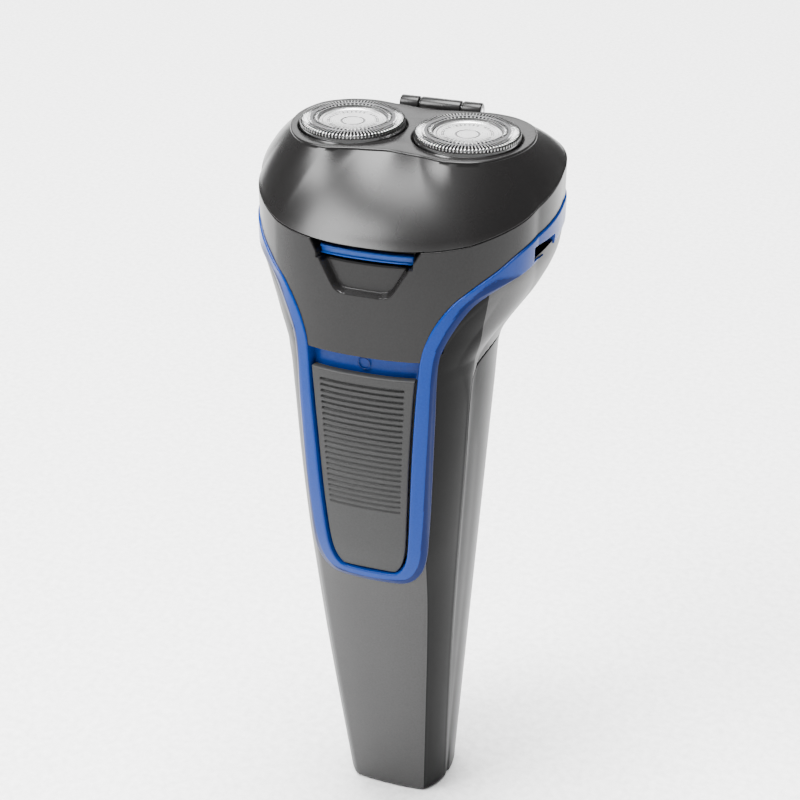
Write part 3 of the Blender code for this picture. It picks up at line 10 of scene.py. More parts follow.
import bmesh
import bpy
import numpy as np
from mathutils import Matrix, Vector


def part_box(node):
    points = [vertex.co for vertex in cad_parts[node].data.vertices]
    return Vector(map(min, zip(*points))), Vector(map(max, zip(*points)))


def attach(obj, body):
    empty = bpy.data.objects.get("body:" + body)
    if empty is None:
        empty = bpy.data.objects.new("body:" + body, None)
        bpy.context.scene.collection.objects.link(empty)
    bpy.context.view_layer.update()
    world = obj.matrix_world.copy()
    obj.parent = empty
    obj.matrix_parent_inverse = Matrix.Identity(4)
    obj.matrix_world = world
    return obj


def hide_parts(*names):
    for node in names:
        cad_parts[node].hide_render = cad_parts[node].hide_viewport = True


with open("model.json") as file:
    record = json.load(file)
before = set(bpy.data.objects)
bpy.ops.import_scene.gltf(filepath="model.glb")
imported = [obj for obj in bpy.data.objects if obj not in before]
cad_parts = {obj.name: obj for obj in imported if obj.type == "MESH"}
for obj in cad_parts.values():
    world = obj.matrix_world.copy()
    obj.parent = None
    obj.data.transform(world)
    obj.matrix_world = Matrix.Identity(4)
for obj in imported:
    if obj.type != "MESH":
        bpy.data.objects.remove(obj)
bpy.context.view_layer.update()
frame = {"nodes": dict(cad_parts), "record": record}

MM = 0.001
TAU = 2.0 * pi
ROUND_STEPS = 96  # sides of the turned pieces


# ---- sizes read from the frame
def box_mm(node):
    low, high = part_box(node)
    return low / MM, high / MM


FLANGE_WIDTH = 1.15
HOLE_GAP = 0.4
CONE_RISE = 7.7
PLATE_Z = box_mm("head_cover")[1].z
GUARD_LOW, GUARD_HIGH = box_mm("shaving_guard_left")
SPINDLE_X = (GUARD_LOW.x + GUARD_HIGH.x) / 2.0
GUARD_TOP = GUARD_HIGH.z
FLANGE_RADIUS = (GUARD_HIGH.x - GUARD_LOW.x) / 2.0
FLANGE_BASE = GUARD_LOW.z
GUARD_RADIUS = FLANGE_RADIUS - FLANGE_WIDTH
HOLE_RADIUS = GUARD_RADIUS + HOLE_GAP
SLIDER_TOP = box_mm("power_slider")[1].z
BUTTON_LOW, BUTTON_HIGH = box_mm("release_button")
RING_LOW, RING_HIGH = box_mm("charge_light_ring")
SEAM_Z = PLATE_Z - CONE_RISE
SEAM_SLOPE = 0.23  # rise of the seam per mm towards the back
SPINDLES = (("left", (SPINDLE_X, 0.0)), ("right", (-SPINDLE_X, 0.0)))

# ---- outlines of the body
AXIS_Y = -5.0
BODY_TOP = 165.0
COLLAR_Z = 150.0  # above it the outlines stay the same
FRONT_Y = [(0, -14.1), (26, -18.5), (52, -22.7), (66, -25.0), (80, -27.6), (100, -29.4),
           (118, -29.9), (129, -29.4), (140, -28.8), (150, -28.0)]
CREASE_X = [(0, 8.7), (26, 10.25), (52, 11.7), (66, 12.3), (80, 12.6), (100, 13.0), (118, 13.7),
            (125, 14.6), (129, 15.8), (133, 17.9), (136.3, 20.3), (141, 24.0), (150, 24.0)]
CORNER_X = [(0, 12.2), (25, 13.9), (51, 15.6), (74, 17.1), (100, 18.7), (112, 19.3), (118, 19.7),
            (122.7, 20.4), (127, 22.8), (131.7, 26.2), (136, 27.9), (141, 28.6), (150, 28.7)]
CORNER_Y = [(0, -7.0), (25, -11.1), (51, -14.8), (74, -16.8), (100, -18.0), (112, -18.4),
            (118, -18.9), (122.7, -19.4), (127, -17.5), (131.7, -13.5), (136, -12.0), (150, -12.0)]
SIDE_X = [(0, 9.3), (100, 15.9), (112, 16.9), (118, 18.2), (122, 19.7), (125, 20.9), (127, 22.4),
          (130, 25.2), (132.2, 27.1), (134.7, 28.6), (137, 29.7), (140, 30.5), (145, 31.0),
          (150, 31.0)]
SIDE_Y = [(0, 1.0), (120, 1.0), (136, 4.0), (150, 5.0)]
BACK_Y = [(0, 3.0), (100, 6.0), (112, 8.0), (120, 11.0), (125, 14.0), (130, 17.0), (136, 19.5),
          (142, 20.5), (150, 21.0)]
CREASE_ROUND = [(0, 0.8), (125, 0.8), (133, 2.0), (138, 5.0), (141, 6.0)]
CORNER_ROUND = [(0, 0.8), (112, 0.8), (120, 2.5), (125, 6.0), (131, 7.0)]
REAR_HALF_WIDTH = (12.2, 0.0655)  # at the base, and growth per mm of height
REAR_DEPTH = (9.3, 0.030)
REAR_START_Y = -1.0
REAR_TOP = 126.0
# Upper edge of the flank: (y, height) pairs up the handle, then back over the rear cover.
CREASE_LINE = [(-7.0, 0), (-11.1, 25), (-14.8, 51), (-16.8, 74), (-18.0, 100), (-18.6, 112),
               (-18.2, 118), (-16.0, 121.3), (-12.0, 122.8), (-6.0, 123.4), (0.0, 123.0),
               (14.0, 121.0), (30.0, 119.0)]
CREASE_TOP = 118.0
CREASE_RISING = [(z, y) for y, z in CREASE_LINE[:7]]
CREASE_OVER_REAR = CREASE_LINE[6:]
CREASE_OVER_REAR_Z = 121.0
CREASE_SHIFT = 0.15
FRONT_FORM = (30.8, 31.0, 2.4)  # half width, depth and power of the curve across the front
BACK_POWER = 2.4
ROUND_SHARE = 0.45  # the most of a side that a rounded corner may take
# Edges of the trim, as (angle, height) pairs that lie across from one another.
TRIM_INNER = [(0, 72.3), (14, 72.5), (18.5, 73.6), (21.3, 76.4), (22.3, 80), (22.9, 90), (23.4, 100),
              (24.5, 112), (25.6, 120), (27.2, 126.5), (30.3, 131), (36, 135.5), (43, 138.8),
              (50.6, 141), (59.2, 142.9), (72.1, 145.6), (87.5, 147.2), (115, 149.6),
              (140, 151.6), (180, 153.4)]
TRIM_OUTER = [(0, 69.3), (19, 69.6), (26.5, 71.2), (31.0, 75.2), (32.3, 80), (33.0, 90), (33.4, 100),
              (33.9, 112), (34.4, 120), (36.0, 126.5), (40, 130.5), (46.9, 135), (53.5, 137.5),
              (62.8, 139.5), (71.3, 140.5), (82.1, 141.3), (99.4, 142.9), (115, 144.4),
              (140, 146.4), (180, 148.2)]
# Top plate: (angle, radius) round a point a little behind the drive axis.
PLATE_CENTRE_Y = 1.0
PLATE_OUTLINE = [(0, 12.7), (24, 14.9), (41, 19.8), (54.5, 22.7), (69, 24.1), (85, 25.1), (97, 25.4),
                 (111, 25.1), (124, 23.2), (136, 20.2), (152, 15.6), (180, 12.4)]


def slopes_of(x, y):
    """Slopes of a smooth curve through points that never overshoots them."""
    step = np.diff(x)
    rate = np.diff(y) / step
    inner = np.where(rate[:-1] * rate[1:] <= 0.0, 0.0,
                     (3.0 * (step[:-1] + step[1:]))
                     / ((2.0 * step[1:] + step[:-1]) / np.where(rate[:-1] == 0, 1, rate[:-1])
                        + (step[1:] + 2.0 * step[:-1]) / np.where(rate[1:] == 0, 1, rate[1:])))
    return np.concatenate([[rate[0]], inner, [rate[-1]]])


def curve(table, at, level_ends=False):
    """Read a station table at many positions, with a smooth curve between the stations."""
    x, y = np.array(table, float).T
    slope = slopes_of(x, y)
    if level_ends:
        slope[0] = slope[-1] = 0.0
    at = np.clip(np.asarray(at, float), x[0], x[-1])
    k = np.clip(np.searchsorted(x, at, side="right") - 1, 0, len(x) - 2)
    span = x[k + 1] - x[k]
    t = (at - x[k]) / span
    return (y[k] * (1 + 2 * t) * (1 - t) ** 2 + slope[k] * span * t * (1 - t) ** 2
            + y[k + 1] * t * t * (3 - 2 * t) + slope[k + 1] * span * t * t * (t - 1))


def front_curve(x):
    """How far the front surface falls back at a distance x from the middle."""
    half, depth, power = FRONT_FORM
    return depth * (1.0 - (1.0 - np.minimum(np.abs(x) / half, 0.999) ** power) ** (1.0 / power))


def bow(start, control, end, t):
    """Points of a bowed line from start to end that aims at a control point."""
    return start * (1 - t) ** 2 + control * 2 * t * (1 - t) + end * t * t


def bend(start, corner, end, steps):
    """Points of a rounded corner, without its first."""
    return bow(start, corner, end, np.linspace(0.0, 1.0, steps + 1)[1:, None])


def quarter(steps):
    """Angles of a quarter turn, in radians."""
    return np.linspace(0.0, pi / 2.0, steps)


def round_edge(radius, steps):
    """Two insets of each point along a rounded edge: from the side it ends on and the one it leaves."""
    return [(radius * (1 - sin(a)), radius * (1 - cos(a))) for a in quarter(steps)]


def angle_of(x, y, centre_y=AXIS_Y):
    """Direction of a point from the body's axis, or from another point on x = 0, in degrees."""
    return np.degrees(np.arctan2(x, -(y - centre_y)))


def front_outline(height):
    """Half outline of the front body at a height, front centre to back centre."""
    def at(table):
        return float(curve(table, height))

    crease_x = at(CREASE_X)
    crease = np.array([crease_x, at(FRONT_Y) + front_curve(crease_x)])
    corner = np.array([at(CORNER_X), at(CORNER_Y)])
    side = np.array([at(SIDE_X), at(SIDE_Y)])
    flank_length = np.linalg.norm(corner - crease)
    flank = (corner - crease) / flank_length
    side_length = np.linalg.norm(side - corner)
    along_side = (side - corner) / side_length
    crease_round = min(at(CREASE_ROUND), ROUND_SHARE * flank_length)
    corner_round = min(at(CORNER_ROUND), ROUND_SHARE * flank_length, ROUND_SHARE * side_length)
    x = np.linspace(0.0, crease_x - crease_round, 24)
    front = np.stack([x, at(FRONT_Y) + front_curve(x)], axis=1)
    first = bend(front[-1], crease, crease + flank * crease_round, 8)
    start = corner - flank * corner_round
    second = bend(start, corner, corner + along_side * corner_round, 12)
    turn = quarter(40)
    back = np.stack([side[0] * np.cos(turn).clip(0) ** (2.0 / BACK_POWER),
                     side[1] + (at(BACK_Y) - side[1]) * np.sin(turn) ** (2.0 / BACK_POWER)], axis=1)
    return np.concatenate([front, first, [start], second, back])


def rear_outline(height):
    """Half outline of the handle behind the crease line."""
    half = REAR_HALF_WIDTH[0] + REAR_HALF_WIDTH[1] * height
    depth = REAR_DEPTH[0] + REAR_DEPTH[1] * height
    corner_y = float(curve(CREASE_RISING, height))
    turn = quarter(40)
    back = np.stack([half * np.cos(turn), REAR_START_Y + depth * np.sin(turn)], axis=1)
    hidden_front = [[0.0, corner_y - 1.0], [half - 4.0, corner_y], [half, corner_y + 2.2]]
    return np.concatenate([hidden_front, back])


def polar_radius(outline, angles, centre_y=AXIS_Y):
    """Distance of an outline from the axis, or from another point on x = 0, in given directions."""
    turn = angle_of(outline[:, 0], outline[:, 1], centre_y)
    reach = np.hypot(outline[:, 0], outline[:, 1] - centre_y)
    return np.interp(angles, np.maximum.accumulate(turn), reach)


TABLE_ANGLES = np.linspace(0.0, 180.0, 721)
TABLE_HEIGHTS = np.linspace(0.0, BODY_TOP, 331)
SLOPE_STEP = 0.5  # degrees and mm over which surface() reads the slope


def radius_table():
    """Distance of the surface from the axis: one row for each height, one column for each direction."""
    rows = []
    for height in TABLE_HEIGHTS:
        row = polar_radius(front_outline(height), TABLE_ANGLES)
        if height < REAR_TOP:
            row = np.maximum(row, polar_radius(rear_outline(height), TABLE_ANGLES))
        rows.append(row)
    return np.array(rows)


RADII = radius_table()


def radius_at(angle, height):
    """Distance of the body's surface from its axis, for arrays of angles and heights."""
    a = np.abs(angle) / 180.0 * (len(TABLE_ANGLES) - 1)
    h = np.clip(height, 0.0, BODY_TOP) / BODY_TOP * (len(TABLE_HEIGHTS) - 1)
    i = np.clip(h.astype(int), 0, len(TABLE_HEIGHTS) - 2)
    j = np.clip(a.astype(int), 0, len(TABLE_ANGLES) - 2)
    u, v = h - i, a - j
    return (RADII[i, j] * (1 - u) * (1 - v) + RADII[i + 1, j] * u * (1 - v)
            + RADII[i, j + 1] * (1 - u) * v + RADII[i + 1, j + 1] * u * v)


def on_body(angle, height):
    """Points on the body's surface."""
    reach = radius_at(angle, height)
    turn = np.radians(angle)
    return np.stack([reach * np.sin(turn), AXIS_Y - reach * np.cos(turn), height], axis=-1)


def surface(angle, height, lift):
    """Points over the body's surface, lifted along its outward normal."""
    along = on_body(angle + SLOPE_STEP, height) - on_body(angle - SLOPE_STEP, height)
    up = on_body(angle, height + SLOPE_STEP) - on_body(angle, np.maximum(height - SLOPE_STEP, 0))
    normal = np.cross(along, up)
    normal /= np.linalg.norm(normal, axis=-1, keepdims=True)
    return on_body(angle, height) + normal * lift[..., None]


def grids(across, up):
    """Grids of positions -1 to 1 across a piece and 0 to 1 up it, from two rows of 0 to 1."""
    return np.meshgrid(across * 2.0 - 1.0, up, indexing="ij")


def wrap(angle):
    """The same direction between -180 and 180 degrees."""
    return (angle + 180.0) % 360.0 - 180.0


def seam_height(y):
    """Height of the slanted seam under the cone."""
    return SEAM_Z + SEAM_SLOPE * y


def smooth_step(low, high, value):
    """0 below low, 1 above high, and a smooth rise between them."""
    t = np.clip((value - low) / (high - low), 0.0, 1.0)
    return t * t * (3 - 2 * t)


# ---- meshes
WELD_METRES = 2e-6
SLIVER_METRES = 1e-6
INNER_WALL_ROWS = 12


def put(name, data):
    """A new object in the scene."""
    made = bpy.data.objects.new(name, data)
    bpy.context.scene.collection.objects.link(made)
    return made


def make_mesh(name, points, faces, sharp=48.0):
    """A mesh from points in millimetres, shaded smooth up to an angle."""
    mesh = bpy.data.meshes.new(name)
    in_metres = (np.asarray(points, float) * MM).tolist()
    mesh.from_pydata(in_metres, [], [list(map(int, face)) for face in faces])
    bm = bmesh.new()
    bm.from_mesh(mesh)
    bmesh.ops.remove_doubles(bm, verts=bm.verts, dist=WELD_METRES)
    bmesh.ops.dissolve_degenerate(bm, edges=bm.edges, dist=SLIVER_METRES)
    bmesh.ops.recalc_face_normals(bm, faces=bm.faces)
    bm.to_mesh(mesh)
    bm.free()
    mesh.shade_smooth()
    mesh.set_sharp_from_angle(angle=radians(sharp))
    return put(name, mesh)


def grid_faces(columns, rows, close_columns=False, close_rows=False):
    """Four-sided faces of a grid of points, kept column by column."""
    faces = []
    for i in range(columns if close_columns else columns - 1):
        after = (i + 1) % columns
        for j in range(rows if close_rows else rows - 1):
            above = (j + 1) % rows
            faces.append((i * rows + j, after * rows + j, after * rows + above, i * rows + above))
    return faces


def shares(count, length, rounding, dense=()):
    """Positions 0 to 1 along a length, with extra ones where its rounded ends turn."""
    turn = np.sin(quarter(6)) ** 2
    ends = np.concatenate([turn * rounding / length, 1.0 - turn * rounding / length])
    middle = np.linspace(rounding / length, 1.0 - rounding / length, count)
    extra = [np.linspace(low, high, steps) for low, high, steps in dense]
    return np.unique(np.round(np.concatenate([ends, middle, *extra]), 5))


def fillet(distance, rounding):
    """How far a rounded edge falls at a distance from it."""
    inside = np.clip(rounding - distance, 0.0, rounding)
    return rounding - np.sqrt(np.maximum(rounding ** 2 - inside ** 2, 0.0))


def shell(name, angle, height, skirt, rounding, lift=None, closed=False, inner=0.0):
    """Shell over the body from grids of angle and height: rounded at its edges, with a skirt inwards.

    A closed one runs all round and only has edges at its first and last row; inner is the depth of
    its inside wall, where that shows.
    """
    raised = np.zeros_like(angle) if lift is None else lift(angle, height)
    flat = on_body(angle, height)
    across = np.linalg.norm(np.diff(flat, axis=1), axis=2)
    run = np.concatenate([np.zeros((len(flat), 1)), np.cumsum(across, axis=1)], axis=1)
    drop = fillet(np.minimum(run, run[:, -1:] - run), rounding)
    if not closed:
        around = np.linalg.norm(np.diff(flat, axis=0), axis=2)
        path = np.concatenate([np.zeros((1, flat.shape[1])), np.cumsum(around, axis=0)], axis=0)
        drop = np.maximum(drop, fillet(np.minimum(path, path[-1:] - path), rounding))
    level = raised - drop
    pad = ((0, 0), (1, 1)) if closed else ((1, 1), (1, 1))
    angle, height = np.pad(angle, pad, mode="edge"), np.pad(height, pad, mode="edge")
    level = np.pad(level, pad, mode="edge")
    level[:, 0] -= skirt
    level[:, -1] -= skirt
    if not closed:
        level[0], level[-1] = -skirt, -skirt
    if inner:
        picks = np.linspace(angle.shape[1] - 1, 0, INNER_WALL_ROWS).astype(int)
        angle = np.concatenate([angle, angle[:, picks]], axis=1)
        height = np.concatenate([height, height[:, picks]], axis=1)
        level = np.concatenate([level, np.full((len(level), len(picks)), -inner)], axis=1)
    points = surface(angle, height, level)
    rows = points.shape[1]
    faces = grid_faces(len(points), rows, close_columns=closed, close_rows=bool(inner))
    return make_mesh(name, points.reshape(-1, 3), faces)


def turned(profile, centre):
    """Points and faces of an open profile of (radius, height) spun round a vertical axis."""
    turn = np.arange(ROUND_STEPS) * TAU / ROUND_STEPS
    points = [(centre[0] + r * cos(a), centre[1] + r * sin(a), z) for a in turn for r, z in profile]
    return points, grid_faces(ROUND_STEPS, len(profile), close_columns=True)


def add(parts, points, faces):
    """Append points and faces to the (points, faces) lists of a piece."""
    first = len(parts[0])
    parts[0].extend([tuple(p) for p in points])
    parts[1].extend([tuple(first + i for i in face) for face in faces])


# ---- the body's shells
TRIM_UPRIGHT = 10  # the first stations of the trim's edges, where they rise steadily
TRIM_STATIONS = 165
NOTCH_STATIONS = (14.2, 16.6)  # table stations between which the notch in the trim lies
NOTCH_Y = (-9.6, -1.4)
NOTCH_Z = (141.9, 144.9)
NOTCH_DEPTH = 2.2
FACET_SHARE = 0.41  # share of the trim's width that its outer facet takes; that facet gets a darker blue as painted shade
FACET_FALL = 0.45
FACET_FADE = (50.0, 76.0)  # directions between which the facet fades out
TRIM_PROUD = 0.35
TRIM_FOOT = 70.4
TRIM_WIDTH = 5.2
FRONT_MM_PER_DEGREE = 0.42
UNDER_REAR = 0.7  # how far the housing drops back under the pieces over it
UNDER_TRIM = 3.2
REAR_GAP = 0.35
REAR_WIDTH = 120.0
BASE_ROUND = 0.8
HANDLE_TOP = 116.0
SHOULDER_Z = 124.0
FRONT_TOP = 127.5
FRONT_TURN = 37.0
HOUSING_OVERLAP = 0.8
FLANK_OVERLAP = 0.4
INLET_WALL = 1.1
INLET_DEPTH = 12.0


def crease_angle(height):
    """Direction of the crease between flank and rear, where the rear cover begins."""
    y = curve(CREASE_RISING, np.minimum(height, CREASE_TOP))
    x = curve(CORNER_X, np.minimum(height, CREASE_TOP)) + CREASE_SHIFT
    return angle_of(x, y)


def front_crease_angle(height):
    """Direction of the crease between front and flank."""
    x = curve(CREASE_X, height)
    y = curve(FRONT_Y, height) + front_curve(x)
    return angle_of(x, y)


def rear_top(angle):
    """Height of the rear cover's top edge, by direction."""
    reach = radius_at(np.abs(angle), np.full_like(angle, CREASE_OVER_REAR_Z))
    y = AXIS_Y - reach * np.cos(np.radians(angle))
    return curve(CREASE_OVER_REAR, y)


def along_line(table, path):
    """Angles and heights of a line given by stations, at positions counted in stations."""
    angle, height = np.array(table, float).T
    index = np.arange(len(table), dtype=float)
    return curve(list(zip(index, angle)), path), curve(list(zip(index, height)), path)


def trim_edges():
    """Outer and inner edge of the trim, column by column from back round the front to back."""
    path = np.unique(np.concatenate([np.linspace(0.0, len(TRIM_INNER) - 1.0, TRIM_STATIONS),
                                     np.linspace(*NOTCH_STATIONS, 110)]))
    edges = []
    for table in (TRIM_OUTER, TRIM_INNER):
        angle, height = along_line(table, path)
        edges.append((np.concatenate([-angle[:0:-1], angle]),
                      np.concatenate([height[:0:-1], height])))
    return edges


def trim_angle(table, height):
    """Direction of an edge of the trim on the handle's front, by height."""
    return curve([(z, a) for a, z in table[:TRIM_UPRIGHT]], height)


def housing_lift(angle, height):
    """The housing drops back where the rear cover, the trim and the slider lie over it."""
    mm_per_degree = radius_at(angle, height) * pi / 180.0
    past_crease = (np.abs(angle) - crease_angle(height)) * mm_per_degree
    below_top = rear_top(angle) - height
    rear = smooth_step(0.1, 0.35, np.minimum(past_crease, below_top))
    inside_trim = (trim_angle(TRIM_OUTER, height) - np.abs(angle)) * mm_per_degree
    front = smooth_step(0.6, 1.4, np.minimum(inside_trim, height - TRIM_FOOT))
    return -UNDER_REAR * rear - UNDER_TRIM * front


def housing_columns(level):
    """Directions of the housing's columns at a height: they follow the creases beside the flank."""
    front = np.linspace(0.0, 1.0, 36)
    flank = np.unique(np.concatenate([np.linspace(0.0, 1.0, 30), np.linspace(0.92, 1.0, 8)]))[1:]
    rear = np.unique(np.concatenate([np.linspace(0.0, 0.05, 14), np.linspace(0.05, 1.0, 90)]))[1:]
    first = float(front_crease_angle(level))
    second = float(crease_angle(level))
    return np.concatenate([front * first, first + flank * (second - first),
                           second + rear * (180.0 - second)])


def housing_grid():
    """Angles and heights of the housing, from its base to under the trim, all the way round."""
    edge_levels = [0.0, 0.12, 0.3, 0.55, 0.8]
    levels = np.unique(np.concatenate([edge_levels, np.linspace(1.5, HANDLE_TOP, 90),
                                       np.linspace(HANDLE_TOP, SHOULDER_Z, 24)]))
    angles = [housing_columns(level) for level in levels]
    heights = [np.full_like(angle, level) for angle, level in zip(angles, levels)]
    top_angle = angles[-1]
    line_angle, line_height = along_line(TRIM_OUTER, np.linspace(0, len(TRIM_OUTER) - 1, 400))
    top = np.interp(top_angle, line_angle, line_height) + HOUSING_OVERLAP
    top = np.where(top_angle < FRONT_TURN, FRONT_TOP, top)
    for share_up in np.linspace(0.0, 1.0, 40)[1:]:
        angles.append(top_angle)
        heights.append(SHOULDER_Z + (top - SHOULDER_Z) * share_up)
    angle = np.array(angles).T
    height = np.array(heights).T
    return (np.concatenate([-angle[:0:-1], angle[:-1]]),
            np.concatenate([height[:0:-1], height[:-1]]))


def build_housing():
    """Front shell of the handle with its flat base and the charge inlet in it."""
    angle, height = housing_grid()
    points = surface(angle, height, housing_lift(angle, height) - fillet(height, BASE_ROUND))
    points[..., 2] = np.maximum(points[..., 2], 0.0)
    inlet = inlet_ring(points[:, 0])
    base = points[:, :1].copy()
    base[..., 2] = 0.0
    inside = inlet.copy()
    inside[..., 2] = INLET_DEPTH
    points = np.concatenate([inside[:, None], inlet[:, None], base, points], axis=1)
    faces = grid_faces(*points.shape[:2], close_columns=True)
    housing = make_mesh("housing_shell", points.reshape(-1, 3), faces, 40.0)
    give_materials(housing, "housing", "flank")
    for face in housing.data.polygons:
        x, y, z = face.center / MM
        turn = angle_of(abs(x), y)
        # faces between the front crease and the rear crease get the near-black flank lacquer: painted
        # shade on the sides
        if z > 0.2 and float(front_crease_angle(z)) < turn < float(crease_angle(z)) + FLANK_OVERLAP:
            face.material_index = 1
    return housing


def inlet_ring(ring):
    """The rim of the charge inlet: one point for each point round the base."""
    low, high = box_mm("charge_socket")
    centre = np.array([0.0, (low.y + high.y) / 2.0])
    half = np.array([high.x - INLET_WALL, (high.y - low.y) / 2.0 - INLET_WALL])
    rim = []
    for x, y, _ in ring:
        way = np.array([x, y]) - centre
        scale = np.min(half / np.maximum(np.abs(way), 1e-9))
        point = centre + way * scale
        rim.append((point[0], point[1], 0.0))
    return np.array(rim)


def build_rear_cover():
    """Rounded back of the handle, between the creases."""
    u_grid, v_grid = grids(shares(110, REAR_WIDTH, REAR_GAP), shares(90, CREASE_TOP, REAR_GAP))
    edge = crease_angle(v_grid * CREASE_TOP) + REAR_GAP
    angle = 180.0 + u_grid * (180.0 - edge)
    top_edge = 180.0 + u_grid * (180.0 - (crease_angle(np.full_like(v_grid, CREASE_TOP)) + REAR_GAP))
    height = v_grid * (rear_top(wrap(top_edge)) - REAR_GAP)
    signed = np.where(angle > 180.0, angle - 360.0, angle)
    return shell("rear_cover_shell", signed, height, 0.9, REAR_GAP)


def facet_share(turn):
    """Share of the trim's width that the facet takes in a direction."""
    return FACET_SHARE * (1.0 - smooth_step(*FACET_FADE, np.abs(turn)))


def build_trim():
    """Blue frame round the slider and up round the head, with a sloped facet and a notch each side."""
    outer_edge, inner_edge = trim_edges()
    across = shares(34, TRIM_WIDTH, 0.55)
    angle = outer_edge[0][:, None] * (1 - across) + inner_edge[0][:, None] * across
    height = outer_edge[1][:, None] * (1 - across) + inner_edge[1][:, None] * across
    facet = facet_share(outer_edge[0][:-1])[:, None]
    slope = FACET_FALL * np.clip((facet - across) / FACET_SHARE, 0.0, 1.0)

    def proud(a, z):
        low = 1.0 - smooth_step(112.0, 126.0, z)
        y = AXIS_Y - radius_at(a, z) * np.cos(np.radians(a))
        inside = np.minimum.reduce([y - NOTCH_Y[0], NOTCH_Y[1] - y, z - NOTCH_Z[0], NOTCH_Z[1] - z])
        return TRIM_PROUD + TRIM_PROUD * low - slope - NOTCH_DEPTH * smooth_step(0.0, 0.3, inside)

    trim = shell("trim_shell", angle[:-1], height[:-1], 3.0, 0.3, lift=proud, closed=True)
    paint_trim(trim, np.stack(outer_edge, axis=1), np.stack(inner_edge, axis=1))
    return trim


def paint_trim(trim, outer, inner):
    """Paint shade on the outer facet with a darker blue, and paint the notch black as the shade inside it.
    """
    give_materials(trim, "blue", "blue_painted_shade", "slot_painted_shade")
    to_mm = np.array([FRONT_MM_PER_DEGREE, 1.0])
    for face in trim.data.polygons:
        x, y, z = face.center / MM
        turn = angle_of(x, y)
        if abs(turn) < FACET_FADE[1]:
            near = int(np.argmin(np.hypot(*((outer - (turn, z)) * to_mm).T)))
            away = ((turn, z) - outer[near]) * to_mm
            width = (inner[near] - outer[near]) * to_mm
            # faces on the outer facet take the darker blue: painted shade
            if away @ width / (width @ width) < facet_share(turn):
                face.material_index = 1
        elif NOTCH_Y[0] + 0.2 < y < NOTCH_Y[1] - 0.2 and NOTCH_Z[0] + 0.1 < z < NOTCH_Z[1] - 0.1:
            # the notch's faces are painted black as the shade inside it
            face.material_index = 2


BARREL_RADIUS = 1.88
BARREL_HOLE = 0.82
BARREL_ROUND = 0.3
BARREL_STEPS = 40


def add_barrel(parts, low, high):
    """Knuckle of the hinge between two x positions, with rounded ends."""
    pin_low, pin_high = box_mm("hinge_pin")
    y = (pin_low.y + pin_high.y) / 2.0
    z = (pin_low.z + pin_high.z) / 2.0
    profile = [(BARREL_HOLE, low)]
    profile += [(BARREL_RADIUS - inset, low + rise) for inset, rise in round_edge(BARREL_ROUND, 5)]
    profile += [(r, low + high - x) for r, x in reversed(profile)]
    turns = [TAU * k / BARREL_STEPS for k in range(BARREL_STEPS)]
    points = [(x, y + r * cos(turn), z + r * sin(turn)) for turn in turns for r, x in profile]
    add(parts, points, grid_faces(BARREL_STEPS, len(profile), close_columns=True))


def with_barrels(piece, *spans):
    """Join hinge knuckles into a shell."""
    parts = ([], [])
    for low, high in spans:
        add_barrel(parts, low, high)
    barrels = make_mesh("barrels", *parts)
    bm = bmesh.new()
    bm.from_mesh(piece.data)
    bm.from_mesh(barrels.data)
    bm.to_mesh(piece.data)
    bm.free()
    bpy.data.objects.remove(barrels, do_unlink=True)
    return piece


RECESS_FOOT = 138.5
RECESS_RISE = 9.7
RECESS_HALF = (5.6, 11.3)  # half widths at its foot and at the seam
RECESS_SLANT = 0.86  # turns a distance along x into one across its slanted side
RECESS_ROUND = 1.6
RECESS_BEVEL = 0.75
RECESS_DEPTH = 1.8
SLOT_HALF = 9.95
SLOT_DEPTH = 3.2
PANEL_FOOT = 125.6
PANEL_FRONT = 44.0  # directions within which the panel's columns are fine
PANEL_STEP = 0.25
PANEL_WIDE = 316.0


def recess_half(height):
    """Half width of the trapezoid recess at a height."""
    return RECESS_HALF[0] + (height - RECESS_FOOT) * (RECESS_HALF[1] - RECESS_HALF[0]) / RECESS_RISE


def recess_lift(angle, height):
    """Trapezoid recess under the seam, with a deeper slot where the release button moves."""
    x = np.abs(radius_at(angle, height) * np.sin(np.radians(angle)))
    inward = (recess_half(height) - x) * RECESS_SLANT
    upward = height - RECESS_FOOT
    mix = np.clip(0.5 + 0.5 * (inward - upward) / RECESS_ROUND, 0.0, 1.0)
    inside = inward * (1 - mix) + upward * mix - RECESS_ROUND * mix * (1 - mix)
    front = np.cos(np.radians(angle)) > 0.5
    recess = smooth_step(0.0, RECESS_BEVEL, inside) * front
    slot = np.minimum(SLOT_HALF - x, height - (BUTTON_LOW.z - 0.3))
    return -RECESS_DEPTH * recess - SLOT_DEPTH * smooth_step(0.0, 0.3, slot) * front


def build_panel():
    """Front panel and collar between the trim and the seam, with the recess and the button's slot."""
    fine = np.arange(-PANEL_FRONT, PANEL_FRONT + 0.01, PANEL_STEP)
    rest = np.linspace(PANEL_FRONT, PANEL_WIDE, 182)[1:-1]
    angle = wrap(np.concatenate([fine, rest]))
    line_angle, line_height = along_line(TRIM_INNER, np.linspace(0, len(TRIM_INNER) - 1, 500))
    low = np.interp(np.abs(angle), line_angle + 0.45, line_height + 0.12)
    low = np.where(np.abs(angle) < 27.0, PANEL_FOOT, np.maximum(low, PANEL_FOOT))
    reach = radius_at(np.abs(angle), np.full_like(angle, COLLAR_Z))
    high = seam_height(AXIS_Y - reach * np.cos(np.radians(angle))) + 0.08
    v = shares(40, 23.0, 0.15, dense=((0.52, 1.0, 74),))
    height = low[:, None] + (high - low)[:, None] * v
    panel = shell("panel_shell", np.repeat(angle[:, None], len(v), axis=1), height, 2.2, 0.15,
                  lift=recess_lift, closed=True, inner=2.6)
    give_materials(panel, "panel", "slot_painted_shade")
    for face in panel.data.polygons:
        x, y, z = face.center / MM
        # faces of the recess from just under the button upwards are painted black as the shade in the deep
        # slot
        if y < -20.0 and z > BUTTON_LOW.z - 0.9 and abs(x) < recess_half(z) - 0.2:
            face.material_index = 1
    return panel


STRIP_FOOT = 121.0
STRIP_HEIGHT = 4.7
STRIP_SUNK = 2.08
STRIP_OVERLAP = 0.9


